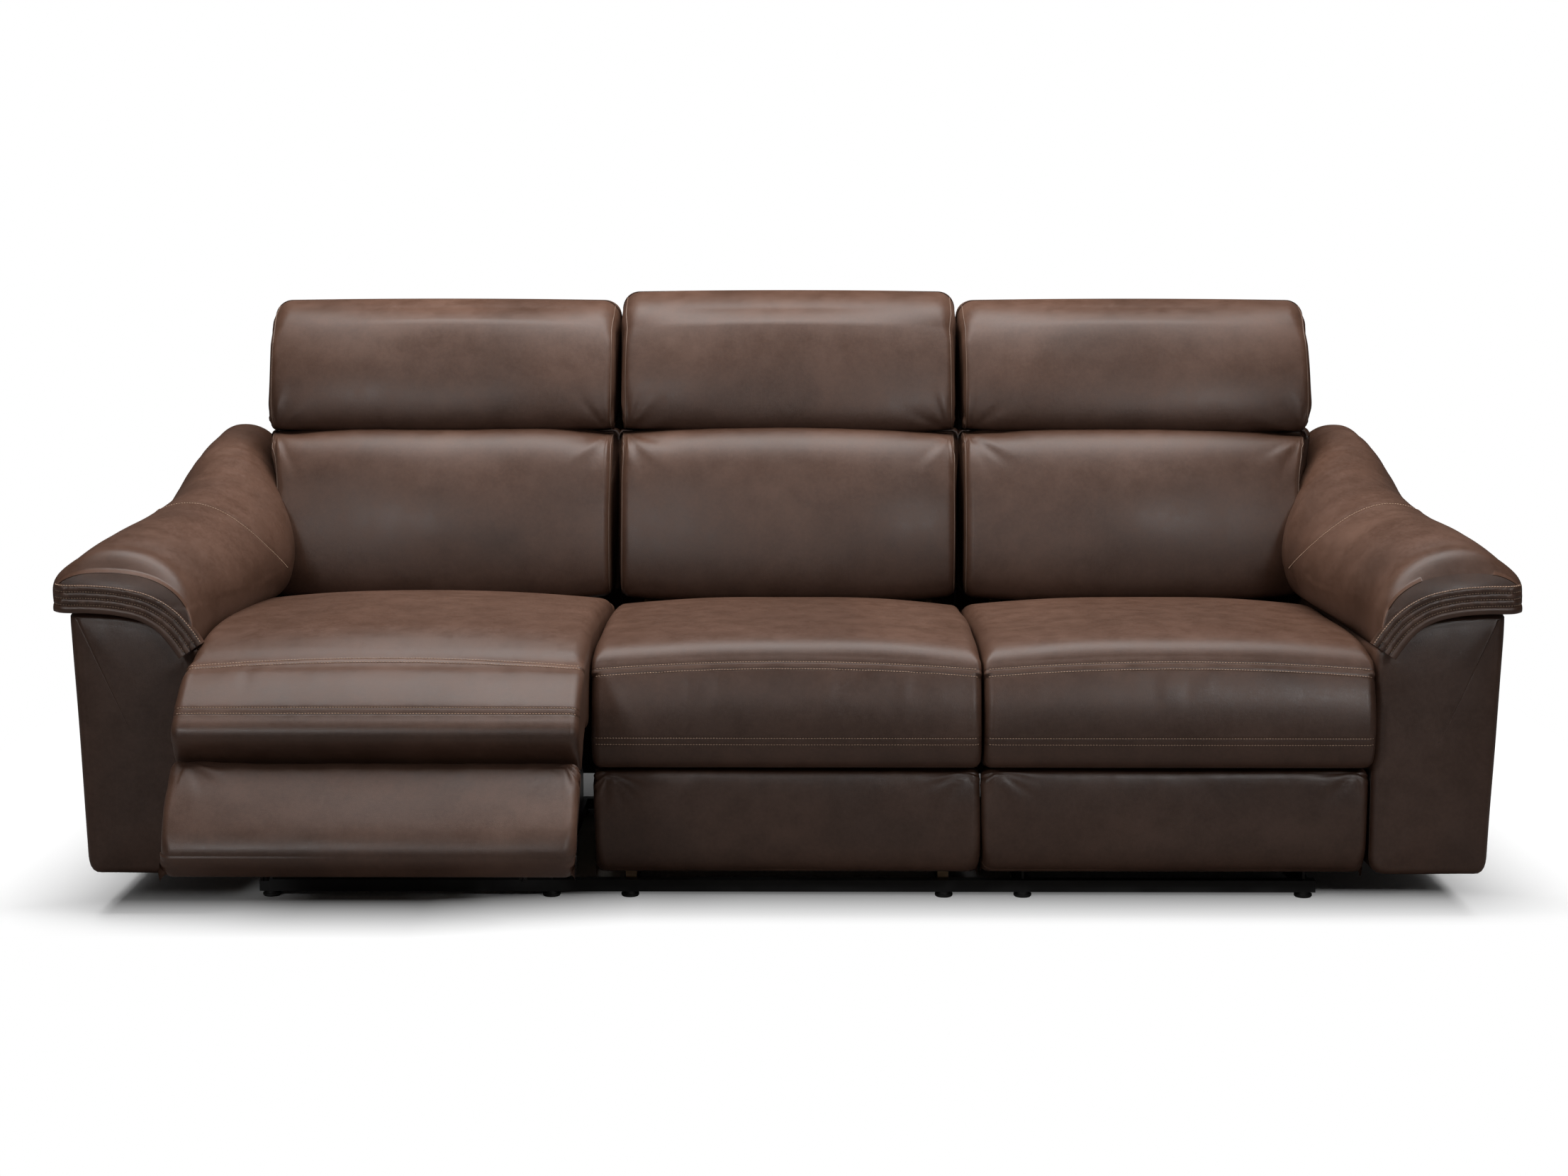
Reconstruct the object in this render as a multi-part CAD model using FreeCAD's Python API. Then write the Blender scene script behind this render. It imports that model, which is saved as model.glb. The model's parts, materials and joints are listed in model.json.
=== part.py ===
"""Three-seat reclining sofa: power recliners at both ends of a fixed centre seat.

X runs along the sofa, Y from front to back and Z up from the floor, in millimetres.
Each seat unit is drawn closed, about its own centre line, with Y = 0 at the face of the
closed lower front panel. The left unit is then opened to its half-way pose.
"""

import FreeCAD
import Part
import math
import os

# Seat units
unit_pitch = 630.0
unit_gap = 4.0
cushion_round = 22.0
soft_gap = 0.3

# Seat cushion and the seam that the front flap folds about
seam_y = -22.0
seam_z = 412.0
seat_underside = 325.0
seat_crown = 461.0
seat_rear_y = 690.0
seat_side_fall = 13.0
seat_nose = 62.0
seat_nose_drop = 23.0
seat_rear_fall = 66.0
seat_rear_edge = 16.0
seat_rear_bow = 12.0

# Front flap, lower front panel and the board behind them
flap_reach = 31.0
groove_reach = 19.0
lip_reach = 27.0
lip_return = 2.0
stitch_groove_z = 296.0
flap_underside = 246.0
panel_top = 239.0
panel_foot = 65.0
panel_swell = 5.0
panel_corner = 11.0
board_front_y = 46.0
board_thickness = 12.0
board_foot = 72.0
board_inset = 17.0

# Back
back_lean = 15.0
frame_foot_y = 706.0
frame_foot_z = 450.0
frame_bottom = 405.0
back_top_pad = 54.0
stile_depth = 42.0
stile_width = 22.0
hinge_gap = 2.0
rail_height = 35.0
back_strap_pitch = 65.0
crease_z = 738.0
crease_y = 676.0
lumbar_reach = 130.0
lumbar_heel = 34.0
head_brow = 38.0
head_crown_y = 805.0
lap_clearance = 3.0
centre_back_height = 996.0
end_back_height = 980.0
back_wing = 27.0
back_wing_foot = 655.0
shell_wall = 9.0
shell_bulge = 8.0
shell_foot = 312.0
shell_foot_front_y = 752.0
shell_foot_rear_y = 852.0
shell_top_rear_y = 938.0

# Floor base
rail_size = 20.0
rail_lift = 9.0
front_rail_y = 120.0
rear_rail_y = 750.0
foot_radius = 15.0
end_track = 235.0
centre_track = 263.0
front_rail_overhang = 27.0
plate_thickness = 4.0
plate_window_margin = 24.0
base_plate_front_y = 118.0
cross_tube_y = 337.0
cross_tube_z = 113.0
low_tube_y = 652.0
low_tube_z = 52.0
tube_size = 25.0

# Seat steelwork and its inclined guide
slide_angle = 15.3
slide_per_degree = 1.893
guide_rear_y = 580.0
guide_rear_z = 116.0
guide_length = 462.0
guide_height = 14.0
guide_thickness = 4.5
guide_clearance = 0.4
roller_radius = 8.0
front_roller_y = 300.0
rear_roller_y = 545.0
roller_length = 12.0
roller_end_gap = 1.0
seat_plate_front_y = 72.0
seat_plate_rear_y = 585.0
deck_depth = 27.0
deck_board = 20.0
deck_inset = 13.0
strap_width = 50.0
strap_count = 5
front_tube_y = 137.0
rear_tube_y = 552.0

# Footrest linkage: a parallelogram on each side of the unit
footrest_travel = 88.0
footrest_open = {"left": 46.0, "right": 0.0}
swing_pivot_y = 93.0
swing_pivot_z = 267.0
panel_pivot_y = 78.0
panel_pivot_z = 215.0
link_half_width = 11.0
link_thickness = 4.0
link_gap = 3.0
pin_radius = 5.0
pin_clearance = 0.5
journal_radius = 8.0
journal_clearance = 0.08
torque_tube_radius = 12.0
crank_length = 70.0

# Drive units
drive_x = 70.0
drive_tube_radius = 16.0
drive_motor_radius = 25.0
rod_radius = 9.0
rod_clearance = 0.3
rod_engagement = 40.0
drive_reach = 78.0
eye_thickness = 8.0
eye_wall = 6.0
eye_neck = 10.0
eye_gap = 0.5
slot_play = 0.6

# Back recline
recline_travel = 30.0
recline_pivot_y = 725.0
recline_pivot_z = 300.0
recline_lever = 190.0
hinge_plate_half_width = 18.0

# Arms
arm_gap = 2.0
arm_width = 207.0
arm_foot_width = 191.0
arm_foot = 68.0
arm_top = 502.0
arm_front_y = -14.0
arm_rear_y = 838.0
arm_wall = 15.0
arm_pad_front_y = -34.0
arm_pad_lift = 0.8
arm_tip_overhang = 22.0
arm_climb = 230.0
arm_wing_gap = 10.0
arm_corner = 12.0
arm_shoulder_x = 70.0
arm_shoulder_drop = 12.0
arm_elbow_x = 23.0
arm_elbow_drop = 34.0
arm_seat_drop = 62.0
arm_edge_drop = 6.0
welt_radius = 6.5
welt_count = 3
welt_gap = 0.5
welt_bend = 50.0
bracket_size = 40.0
bracket_front_y = 200.0
bracket_rear_y = 600.0
apron_y = 800.0
apron_foot = 66.0
apron_top = 235.0
apron_thickness = 12.0

# Switches
switch_y = 150.0
switch_z = 430.0
switch_length = 92.0
switch_height = 44.0
switch_depth = 3.0
button_radius = 11.0
button_travel = 2.0
button_clearance = 0.3
button_pitch = 40.0

half_unit = (unit_pitch - unit_gap) / 2.0
tracks = {"left": end_track, "right": end_track, "centre": centre_track}
centres = {"left": -unit_pitch, "centre": 0.0, "right": unit_pitch}
deck_top = seat_underside
rail_top = rail_lift + rail_size
board_half_width = half_unit - board_inset
deck_half_width = half_unit - deck_inset
frame_top = end_back_height - back_top_pad
stile_inner_x = end_track - plate_thickness / 2.0 - hinge_gap
roller_end_x = end_track - plate_thickness / 2.0 - roller_end_gap
seat_plate_x = roller_end_x - roller_length - plate_thickness
swing_link_x = seat_plate_x - link_gap - link_thickness
connecting_link_x = swing_link_x - link_gap - link_thickness
arm_inner_x = unit_pitch + half_unit + arm_gap
arm_outer_x = arm_inner_x + arm_width
arm_outer_foot_x = arm_inner_x + arm_foot_width
arm_wing_x = unit_pitch + half_unit + back_wing + arm_wing_gap
arm_span = arm_width + arm_tip_overhang


def vec(x, y, z):
    """Point in space."""
    return FreeCAD.Vector(x, y, z)


def closed_wire(start, steps, place):
    """Closed outline: a step of one point is a line, a step of two points is an arc."""
    edges = []
    here = place(*start)
    for step in steps:
        ends = [place(*flat) for flat in step]
        if len(ends) == 1:
            edges.append(Part.makeLine(here, ends[0]))
        else:
            edges.append(Part.Arc(here, ends[0], ends[1]).toShape())
        here = ends[-1]
    edges.append(Part.makeLine(here, place(*start)))
    return Part.Wire(edges)


def side_wire(x, start, steps):
    """Outline in the side plane at x; its points are (y, z)."""
    return closed_wire(start, steps, lambda y, z: vec(x, y, z))


def front_wire(y, start, steps):
    """Outline in the front plane at y; its points are (x, z)."""
    return closed_wire(start, steps, lambda x, z: vec(x, y, z))


def side_prism(x0, x1, start, steps):
    """Solid with one side outline, from x0 to x1."""
    face = Part.Face(side_wire(x0, start, steps))
    return face.extrude(vec(x1 - x0, 0, 0))


def front_prism(y0, y1, start, steps):
    """Solid with one front outline, from y0 to y1."""
    face = Part.Face(front_wire(y0, start, steps))
    return face.extrude(vec(0, y1 - y0, 0))


def block(x0, x1, y0, y1, z0, z1):
    """Rectangular block between two corners."""
    return Part.makeBox(x1 - x0, y1 - y0, z1 - z0, vec(x0, y0, z0))


def rod_x(x0, x1, y, z, radius):
    """Round bar along X."""
    return Part.makeCylinder(radius, x1 - x0, vec(x0, y, z), vec(1, 0, 0))


def rod_y(y0, y1, x, z, radius):
    """Round bar along Y."""
    return Part.makeCylinder(radius, y1 - y0, vec(x, y0, z), vec(0, 1, 0))


def bar_link(x0, x1, a, b, half_width):
    """Flat link with round ends, between two points of the side plane."""
    dy = b[0] - a[0]
    dz = b[1] - a[1]
    length = math.hypot(dy, dz)
    ny = -dz / length * half_width
    nz = dy / length * half_width
    ey = dy / length * half_width
    ez = dz / length * half_width
    steps = [
        [(b[0] + ey, b[1] + ez), (b[0] - ny, b[1] - nz)],
        [(a[0] - ny, a[1] - nz)],
        [(a[0] - ey, a[1] - ez), (a[0] + ny, a[1] + nz)],
    ]
    return side_prism(x0, x1, (b[0] + ny, b[1] + nz), steps)


def mirrored(shape):
    """The same piece on the other side of the centre line."""
    return shape.mirror(vec(0, 0, 0), vec(1, 0, 0))


def both_sides(shape):
    """A piece and its mirror image."""
    return [shape, mirrored(shape)]


def turned(point, centre, degrees):
    """Side-plane point swung forwards and up about a centre."""
    angle = math.radians(degrees)
    dy = point[0] - centre[0]
    dz = point[1] - centre[1]
    y = centre[0] + dy * math.cos(angle) + dz * math.sin(angle)
    z = centre[1] - dy * math.sin(angle) + dz * math.cos(angle)
    return (y, z)


def cushion(half_left, half_right, section):
    """Cushion lofted across its width; its edge is drawn in round both sides."""
    stations = []
    for side, half in ((-1.0, half_left), (1.0, half_right)):
        for share in (1.0, 0.6):
            x = side * (half - cushion_round * (1.0 - share))
            draw = cushion_round * (1.0 - math.sqrt(1.0 - share * share))
            stations.append((x, draw))
        stations.append((side * (half - cushion_round), 0.0))
        stations.append((side * half * 0.55, 0.0))
    stations.append((0.0, 0.0))
    stations.sort()
    wires = []
    for x, draw in stations:
        share = abs(x) / max(half_left, half_right)
        wires.append(section(x, draw, share * share))
    return Part.makeLoft(wires, True, True)


def seat_section(x, draw, side):
    """Side outline of a seat cushion: mitred front end, rounded nose and falling rear."""
    fall = seat_side_fall * side
    slant = draw * math.sqrt(0.5)
    crown = seat_crown - fall - draw
    start = (seam_y + soft_gap + slant, seam_z + soft_gap - slant)
    mitre_foot = seam_y + (seam_z - seat_underside)
    depth = seat_rear_y - seam_y
    rear_low = seat_underside + seat_rear_edge
    rear_brow = (crown - seat_rear_fall + rear_low + seat_rear_edge) / 2
    rear = seat_rear_y - seat_rear_bow - draw
    steps = [
        [(seam_y + seat_nose * 0.26 + draw, crown - seat_nose_drop),
         (seam_y + seat_nose, crown - seat_nose_drop * 0.4)],
        [(seam_y + depth * 0.38, crown), (seam_y + depth * 0.68, crown - seat_rear_fall * 0.1)],
        [(seam_y + depth * 0.82, crown - seat_rear_fall * 0.37),
         (seam_y + depth * 0.93, crown - seat_rear_fall)],
        [(rear, rear_brow), (seat_rear_y - draw, rear_low)],
        [(rear, seat_underside + soft_gap)],
        [(mitre_foot + soft_gap, seat_underside + soft_gap)],
    ]
    return side_wire(x, start, steps)


def seat_cushion():
    """Seat cushion on its deck."""
    return [cushion(half_unit, half_unit, seat_section)]


def flap_section(x, draw, side):
    """Side outline of the front flap: a swelling face, a stitched groove and a lip roll."""
    slant = draw * math.sqrt(0.5)
    back = board_front_y - soft_gap
    start = (seam_y - soft_gap + slant, seam_z - soft_gap - slant)
    groove = (seam_y - groove_reach + slant, stitch_groove_z)
    lip_low = (seam_y - lip_return + slant, flap_underside + lip_return)
    steps = [
        [(seam_y - flap_reach + slant, (seam_z + stitch_groove_z) / 2), groove],
        [(seam_y - lip_reach + slant, (stitch_groove_z + flap_underside) / 2), lip_low],
        [(0, flap_underside)],
        [(back, flap_underside)],
        [(back, seam_z - (back - seam_y) - 2 * soft_gap)],
    ]
    return side_wire(x, start, steps)


def front_flap():
    """Front flap below the seam, padded in one piece with its lip."""
    return [cushion(half_unit, half_unit, flap_section)]


def panel_section(x, draw, side):
    """Side outline of the lower front panel."""
    inset = draw * 0.3
    back = board_front_y - soft_gap
    tuck = board_front_y + board_thickness
    top = panel_top - inset
    foot = panel_foot + inset * 0.3
    face = draw * 0.7
    corner = panel_corner
    start = (back, top)
    steps = [
        [(corner + face, top)],
        [(corner * 0.29 + face, top - corner * 0.29), (face, top - corner)],
        [(face - panel_swell, (top + foot) / 2), (face, foot + corner)],
        [(corner * 0.29 + face, foot + corner * 0.29), (corner + face, foot)],
        [(tuck, foot)],
        [(tuck, board_foot - soft_gap)],
        [(back, board_foot - soft_gap)],
    ]
    return side_wire(x, start, steps)


def lower_panel():
    """Padded lower front panel."""
    return [cushion(half_unit, half_unit, panel_section)]


def footrest_board():
    """Board behind the flap and the lower panel, cut back under the mitred top."""
    back = board_front_y + board_thickness
    top = seam_z - (back - seam_y) - 6
    return [block(-board_half_width, board_half_width, board_front_y, back, board_foot, top)]


def deck():
    """Seat deck: a frame of four boards with elastic straps across it."""
    low = deck_top - deck_depth
    half = deck_half_width
    front = seat_plate_front_y
    rear = seat_plate_rear_y
    pieces = [
        block(-half, half, front, front + deck_board, low, deck_top),
        block(-half, half, rear - deck_board, rear, low, deck_top),
        block(-half, -half + deck_board, front + deck_board, rear - deck_board, low, deck_top),
        block(half - deck_board, half, front + deck_board, rear - deck_board, low, deck_top),
    ]
    pitch = 2 * (half - deck_board) / strap_count
    for index in range(strap_count):
        x = (index - (strap_count - 1) / 2) * pitch
        low_strap = deck_top - 4
        pieces.append(block(x - strap_width / 2, x + strap_width / 2, front + deck_board,
                            rear - deck_board, low_strap, low_strap + 2))
    return pieces


def frame_front(z):
    """Depth of the leaning front face of the back frame at a height."""
    return frame_foot_y + (z - frame_foot_z) * math.tan(math.radians(back_lean))


def back_frame(reclines):
    """Back frame: two leaning stiles, three rails and four straps."""
    inner = stile_inner_x
    outer = stile_inner_x + stile_width
    stile = side_prism(
        inner, outer, (frame_front(frame_bottom), frame_bottom),
        [[(frame_front(frame_top), frame_top)],
         [(frame_front(frame_top) + stile_depth, frame_top)],
         [(frame_front(frame_bottom) + stile_depth, frame_bottom)]])
    pieces = both_sides(stile)
    for low in (frame_bottom, crease_z - rail_height / 2, frame_top - rail_height):
        high = low + rail_height
        half = inner - (plate_thickness if reclines and low == frame_bottom else 0)
        pieces.append(side_prism(
            -half, half, (frame_front(low), low),
            [[(frame_front(high), high)],
             [(frame_front(high) + deck_board, high)],
             [(frame_front(low) + deck_board, low)]]))
    lumbar_middle = (frame_bottom + rail_height / 2 + crease_z) / 2
    head_middle = (crease_z - rail_height / 2 + frame_top) / 2
    middles = [lumbar_middle + step * back_strap_pitch for step in (-1, 0, 1)]
    for middle in middles + [head_middle]:
        low = middle - strap_width / 2
        high = middle + strap_width / 2
        pieces.append(side_prism(
            -inner, inner, (frame_front(low) + 4, low),
            [[(frame_front(high) + 4, high)],
             [(frame_front(high) + 6, high)],
             [(frame_front(low) + 6, low)]]))
    return pieces


def lumbar_section(x, draw, side):
    """Side outline of a lumbar cushion: full at the bottom, drawn in at the crease."""
    fall = 12 * side
    low = frame_foot_z - 3 + draw * 0.4
    high = crease_z - 1 - draw * 0.4
    face = fall + draw
    start = (frame_front(low) - soft_gap, low)
    front = crease_y - lumbar_reach
    heel = lumbar_heel
    steps = [
        [(front + heel + face, low)],
        [(front + heel * 0.4 + face, low + heel * 0.24), (front + heel * 0.15 + face, low + heel)],
        [(front + lumbar_reach * 0.31 + face, low + (high - low) * 0.6),
         (crease_y + draw * 0.6, high)],
        [(frame_front(high) - soft_gap, high)],
    ]
    return side_wire(x, start, steps)


def head_section(x, draw, side, height):
    """Side outline of a head cushion, which laps over the top of the frame."""
    fall = 9 * side
    low = crease_z + 3 + draw * 0.4
    face = fall + draw
    top = height - 5 * side - draw
    rise = head_crown_y - crease_y
    lap_y = frame_front(frame_top) + stile_depth + lap_clearance
    lap_z = frame_top + 1
    rear_z = lap_z + shell_wall + lap_clearance
    start = (frame_front(low) - soft_gap, low)
    steps = [
        [(crease_y + 2 + draw * 0.6, low)],
        [(crease_y - 2 + face, low + (top - low) * 0.41),
         (crease_y + rise * 0.48 + face, top - head_brow)],
        [(crease_y + rise * 0.67 + face * 0.5, top - head_brow * 0.26), (head_crown_y, top)],
        [((head_crown_y + 2 * lap_y) / 3 + 4 - draw * 0.5, rear_z + (top - rear_z) * 0.75),
         (lap_y - draw * 0.5, rear_z)],
        [(lap_y - draw * 0.5, lap_z)],
        [(frame_front(lap_z) - soft_gap, lap_z)],
    ]
    return side_wire(x, start, steps)


def wing_cut(outer_sign):
    """Space beside the lower back that the arm fills."""
    x0 = outer_sign * (half_unit - 2)
    x1 = outer_sign * (half_unit + 2 * back_wing)
    front = crease_y - 2 * lumbar_reach
    rear = shell_top_rear_y + 2 * shell_bulge
    return block(min(x0, x1), max(x0, x1), front, rear, shell_foot - back_wing,
                 back_wing_foot)


def back_halves(outer_sign):
    """Half widths of a back to the left and right; an end back has a wing over the arm."""
    left = half_unit + (back_wing if outer_sign < 0 else 0)
    right = half_unit + (back_wing if outer_sign > 0 else 0)
    return left, right


def lumbar_cushion(outer_sign):
    """Lumbar cushion."""
    left, right = back_halves(outer_sign)
    pad = cushion(left, right, lumbar_section)
    if outer_sign:
        pad = pad.cut(wing_cut(outer_sign))
    return [pad]


def head_cushion(outer_sign, height):
    """Head cushion."""
    left, right = back_halves(outer_sign)
    return [cushion(left, right, lambda x, draw, side: head_section(x, draw, side, height))]


def shell_block(x0, x1, wall):
    """Outer form of the back cover, or with a wall its inside, open in front and below."""
    inside = wall > 0
    open_by = 20 if inside else 0
    foot = shell_foot - open_by
    top = frame_top + shell_wall + lap_clearance + 2
    lap_y = frame_front(frame_top) + stile_depth + lap_clearance
    lap_z = frame_top + (1 if inside else 0)
    mid_z = (shell_foot + top) / 2
    mid_y = (shell_foot_rear_y + shell_top_rear_y) / 2 + shell_bulge
    start = (shell_foot_front_y - 3 * open_by, foot)
    steps = [
        [(shell_foot_rear_y - wall, foot)],
        [(mid_y - wall, mid_z), (shell_top_rear_y - wall, top - wall)],
        [(lap_y + wall, top - wall)],
        [(lap_y + wall, lap_z)],
        [(frame_front(lap_z) - open_by, lap_z)],
        [(frame_front(frame_bottom + rail_height) - open_by, frame_bottom + rail_height)],
    ]
    return side_prism(x0 + wall, x1 - wall, start, steps)


def back_shell(outer_sign):
    """Rear cover of a back: a hollow shell that is open towards the cushions."""
    left, right = back_halves(outer_sign)
    shell = shell_block(-left, right, 0.0)
    if outer_sign:
        shell = shell.cut(wing_cut(outer_sign))
    inner_left = half_unit - 2
    hollow = shell_block(-inner_left, inner_left, shell_wall)
    return [shell.cut(hollow)]


def glide_axis(y):
    """Height of the inclined guide bar's middle at a depth."""
    return guide_rear_z + (guide_rear_y - y) * math.tan(math.radians(slide_angle))


def base_plates():
    """Two upright side plates on the floor rails, with an ear for the back's hinge."""
    inner = end_track - plate_thickness / 2
    ear = hinge_plate_half_width
    top_front = glide_axis(base_plate_front_y) + guide_height
    top_rear = glide_axis(guide_rear_y) + guide_height
    plate = side_prism(
        inner, inner + plate_thickness, (base_plate_front_y, rail_top),
        [[(recline_pivot_y + ear, rail_top)],
         [(recline_pivot_y + ear, recline_pivot_z)],
         [(recline_pivot_y, recline_pivot_z + ear), (recline_pivot_y - ear, recline_pivot_z)],
         [(recline_pivot_y - ear - 30, top_rear + 20)],
         [(guide_rear_y + 20, top_rear)],
         [(base_plate_front_y, top_front)]])
    margin = plate_window_margin
    low = rail_top + margin
    for front, rear in ((base_plate_front_y, cross_tube_y - tube_size / 2),
                        (cross_tube_y + tube_size / 2, guide_rear_y)):
        front += margin
        rear -= margin
        hole = side_prism(
            inner - 1, inner + plate_thickness + 1, (front, low),
            [[(rear, low)],
             [(rear, glide_axis(rear) - guide_height - margin)],
             [(front, glide_axis(front) - guide_height - margin)]])
        plate = plate.cut(hole)
    bore = rod_x(inner - 1, inner + plate_thickness + 1, recline_pivot_y, recline_pivot_z,
                 journal_radius + journal_clearance)
    return both_sides(plate.cut(bore))


def inclined_bar(x0, x1, y_rear, length, half_height):
    """Bar along the guide's slope, from its rear end forwards."""
    rise = math.tan(math.radians(slide_angle))
    y_front = y_rear - length * math.cos(math.radians(slide_angle))
    z_rear = glide_axis(y_rear)
    z_front = glide_axis(y_front)
    half = half_height * math.sqrt(1 + rise * rise)
    return side_prism(
        x0, x1, (y_rear, z_rear - half),
        [[(y_rear, z_rear + half)], [(y_front, z_front + half)], [(y_front, z_front - half)]])


def guide_bars():
    """Inclined bars on the base plates, which the seat's rollers run along."""
    outer = end_track - plate_thickness / 2
    bar = inclined_bar(outer - guide_thickness, outer, guide_rear_y, guide_length,
                       guide_height / 2)
    return both_sides(bar)


def roller_centres():
    """Side-plane centres of the rollers above and below the guide bar."""
    offset = guide_height / 2 + roller_radius + guide_clearance
    angle = math.radians(slide_angle)
    centres_list = []
    for y in (front_roller_y, rear_roller_y):
        for side in (1, -1):
            centres_list.append((y + side * offset * math.sin(angle),
                                 glide_axis(y) + side * offset * math.cos(angle)))
    return centres_list


def seat_steel():
    """Seat side plates with rollers, and two cross tubes between them."""
    inner = seat_plate_x
    outer = inner + plate_thickness
    low = deck_top - deck_depth
    drop = guide_height / 2 + 2 * roller_radius + 8
    front_low = glide_axis(front_roller_y) - drop
    rear_low = glide_axis(rear_roller_y) - drop
    ear = 20
    plate = side_prism(
        inner, outer, (seat_plate_front_y, low),
        [[(seat_plate_front_y, swing_pivot_z)],
         [(swing_pivot_y, swing_pivot_z - ear), (swing_pivot_y + ear, swing_pivot_z)],
         [(front_roller_y - 45, swing_pivot_z)],
         [(front_roller_y - 18, front_low + 10)],
         [(front_roller_y, front_low)],
         [(rear_roller_y + 10, rear_low)],
         [(rear_roller_y + 25, rear_low + 14)],
         [(seat_plate_rear_y, low)]])
    window_low = glide_axis(420) + drop - 8
    window = side_prism(
        inner - 1, outer + 1, (360, window_low + 14),
        [[(500, window_low - 20)], [(520, low - 14)], [(360, low - 14)]])
    plate = plate.cut(window)
    bore = rod_x(inner - 1, outer + 1, swing_pivot_y, swing_pivot_z,
                 journal_radius + journal_clearance)
    plate = plate.cut(bore)
    pieces = both_sides(plate)
    for y, z in roller_centres():
        pieces.extend(both_sides(rod_x(outer, roller_end_x, y, z, roller_radius)))
    half = tube_size / 2
    for y in (front_tube_y, rear_tube_y):
        pieces.append(block(-inner, inner, y - half, y + half, low - tube_size, low))
    return pieces


def panel_bracket_point():
    """Pivot on the footrest's bracket, closed."""
    return (panel_pivot_y, panel_pivot_z)


def elbow_point():
    """Pivot between the swing link and the connecting link, closed."""
    return (swing_pivot_y + panel_pivot_y - seam_y, swing_pivot_z + panel_pivot_z - seam_z)


def footrest_brackets():
    """Steel brackets on the footrest's board, each with its pivot pin."""
    back = board_front_y + board_thickness
    inner = swing_link_x
    outer = inner + link_thickness
    y, z = panel_bracket_point()
    boss = link_half_width + 1
    web = side_prism(
        inner, outer, (back, z - 45),
        [[(back + 6, z - 45)], [(y + boss - 3, z - 6)], [(y + boss, z), (y, z + boss)],
         [(back + 6, z + 45)], [(back, z + 45)]])
    foot = block(inner - 22, inner, back, back + 3, z - 40, z + 40)
    pin = rod_x(connecting_link_x - 3, inner, y, z, pin_radius)
    bracket = web.fuse([foot, pin]).removeSplitter()
    return both_sides(bracket)


def crank_points():
    """Crank pin, closed, and the height of the drive's axis."""
    angle = math.radians(footrest_travel / 2)
    y = swing_pivot_y + crank_length * math.sin(angle)
    z = swing_pivot_z - crank_length * math.cos(angle)
    axis_z = swing_pivot_z - crank_length * (1 + math.cos(angle)) / 2
    return (y, z), axis_z


def swing_links():
    """Swing links on a torque tube, with the crank that turns them."""
    inner = swing_link_x
    outer = inner + link_thickness
    pivot = (swing_pivot_y, swing_pivot_z)
    elbow = elbow_point()
    link = bar_link(inner, outer, pivot, elbow, link_half_width)
    pin = rod_x(connecting_link_x - 3, inner, elbow[0], elbow[1], pin_radius)
    journal = rod_x(inner, seat_plate_x + plate_thickness + 2, pivot[0], pivot[1],
                    journal_radius)
    side = link.fuse([pin, journal])
    tube = rod_x(-inner, inner, pivot[0], pivot[1], torque_tube_radius)
    crank_pin, axis_z = crank_points()
    plate_x = -drive_x - eye_gap
    crank = bar_link(plate_x - link_thickness, plate_x, pivot, crank_pin, link_half_width)
    stud = rod_x(plate_x, plate_x + eye_thickness + 2, crank_pin[0], crank_pin[1], pin_radius)
    return [tube.fuse([side, mirrored(side), crank, stud]).removeSplitter()]


def connecting_links():
    """Links from the elbows to the footrest's brackets."""
    inner = connecting_link_x
    outer = inner + link_thickness
    elbow = elbow_point()
    panel = panel_bracket_point()
    link = bar_link(inner, outer, elbow, panel, link_half_width)
    for y, z in (elbow, panel):
        link = link.cut(rod_x(inner - 1, outer + 1, y, z, pin_radius + pin_clearance))
    return both_sides(link)


def slotted_eye(x, y, z, half_wide, half_high, rod_side):
    """Eye plate with an upright slot for a crank pin, and a neck towards its rod."""
    outer = block(x, x + eye_thickness, y - half_wide - eye_wall, y + half_wide + eye_wall,
                  z - half_high - eye_wall, z + half_high + eye_wall)
    root = y + rod_side * (half_wide + eye_wall)
    tip = root + rod_side * eye_neck
    neck = block(x, x + eye_thickness, min(root, tip), max(root, tip), z - 8, z + 8)
    outer = outer.fuse(neck)
    slot = block(x - 1, x + eye_thickness + 1, y - half_wide, y + half_wide,
                 z - half_high, z + half_high)
    return outer.cut(slot)


def eye_sizes(arm, travel):
    """Half width and half height of the slot that a crank pin needs."""
    half = math.radians(travel / 2)
    rise = arm * (1 - math.cos(half)) / 2
    stroke = arm * math.sin(half)
    lag = 0.0
    for step in range(1, 20):
        share = step / 20
        lag = max(lag, arm * math.sin(half * share) - stroke * share)
    return pin_radius + lag + slot_play, pin_radius + rise + slot_play


def footrest_drive_ends():
    """Front of the drive tube, closed, and the rod's inner end."""
    (pin_y, pin_z), axis_z = crank_points()
    half_wide, half_high = eye_sizes(crank_length, footrest_travel)
    eye_rear = pin_y + half_wide + eye_wall + eye_neck
    stroke = 2 * crank_length * math.sin(math.radians(footrest_travel / 2))
    mouth = eye_rear + drive_reach
    inner_end = mouth + rod_engagement + stroke
    return eye_rear, mouth, inner_end, stroke


def footrest_rod():
    """Drive rod with a slotted eye round the crank pin."""
    (pin_y, pin_z), axis_z = crank_points()
    half_wide, half_high = eye_sizes(crank_length, footrest_travel)
    eye_rear, mouth, inner_end, stroke = footrest_drive_ends()
    eye = slotted_eye(-drive_x, pin_y, axis_z, half_wide, half_high, 1)
    centre_x = -drive_x + eye_thickness / 2
    rod = rod_y(eye_rear - 1, inner_end, centre_x, axis_z, rod_radius)
    return [eye.fuse(rod).removeSplitter()]


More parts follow.
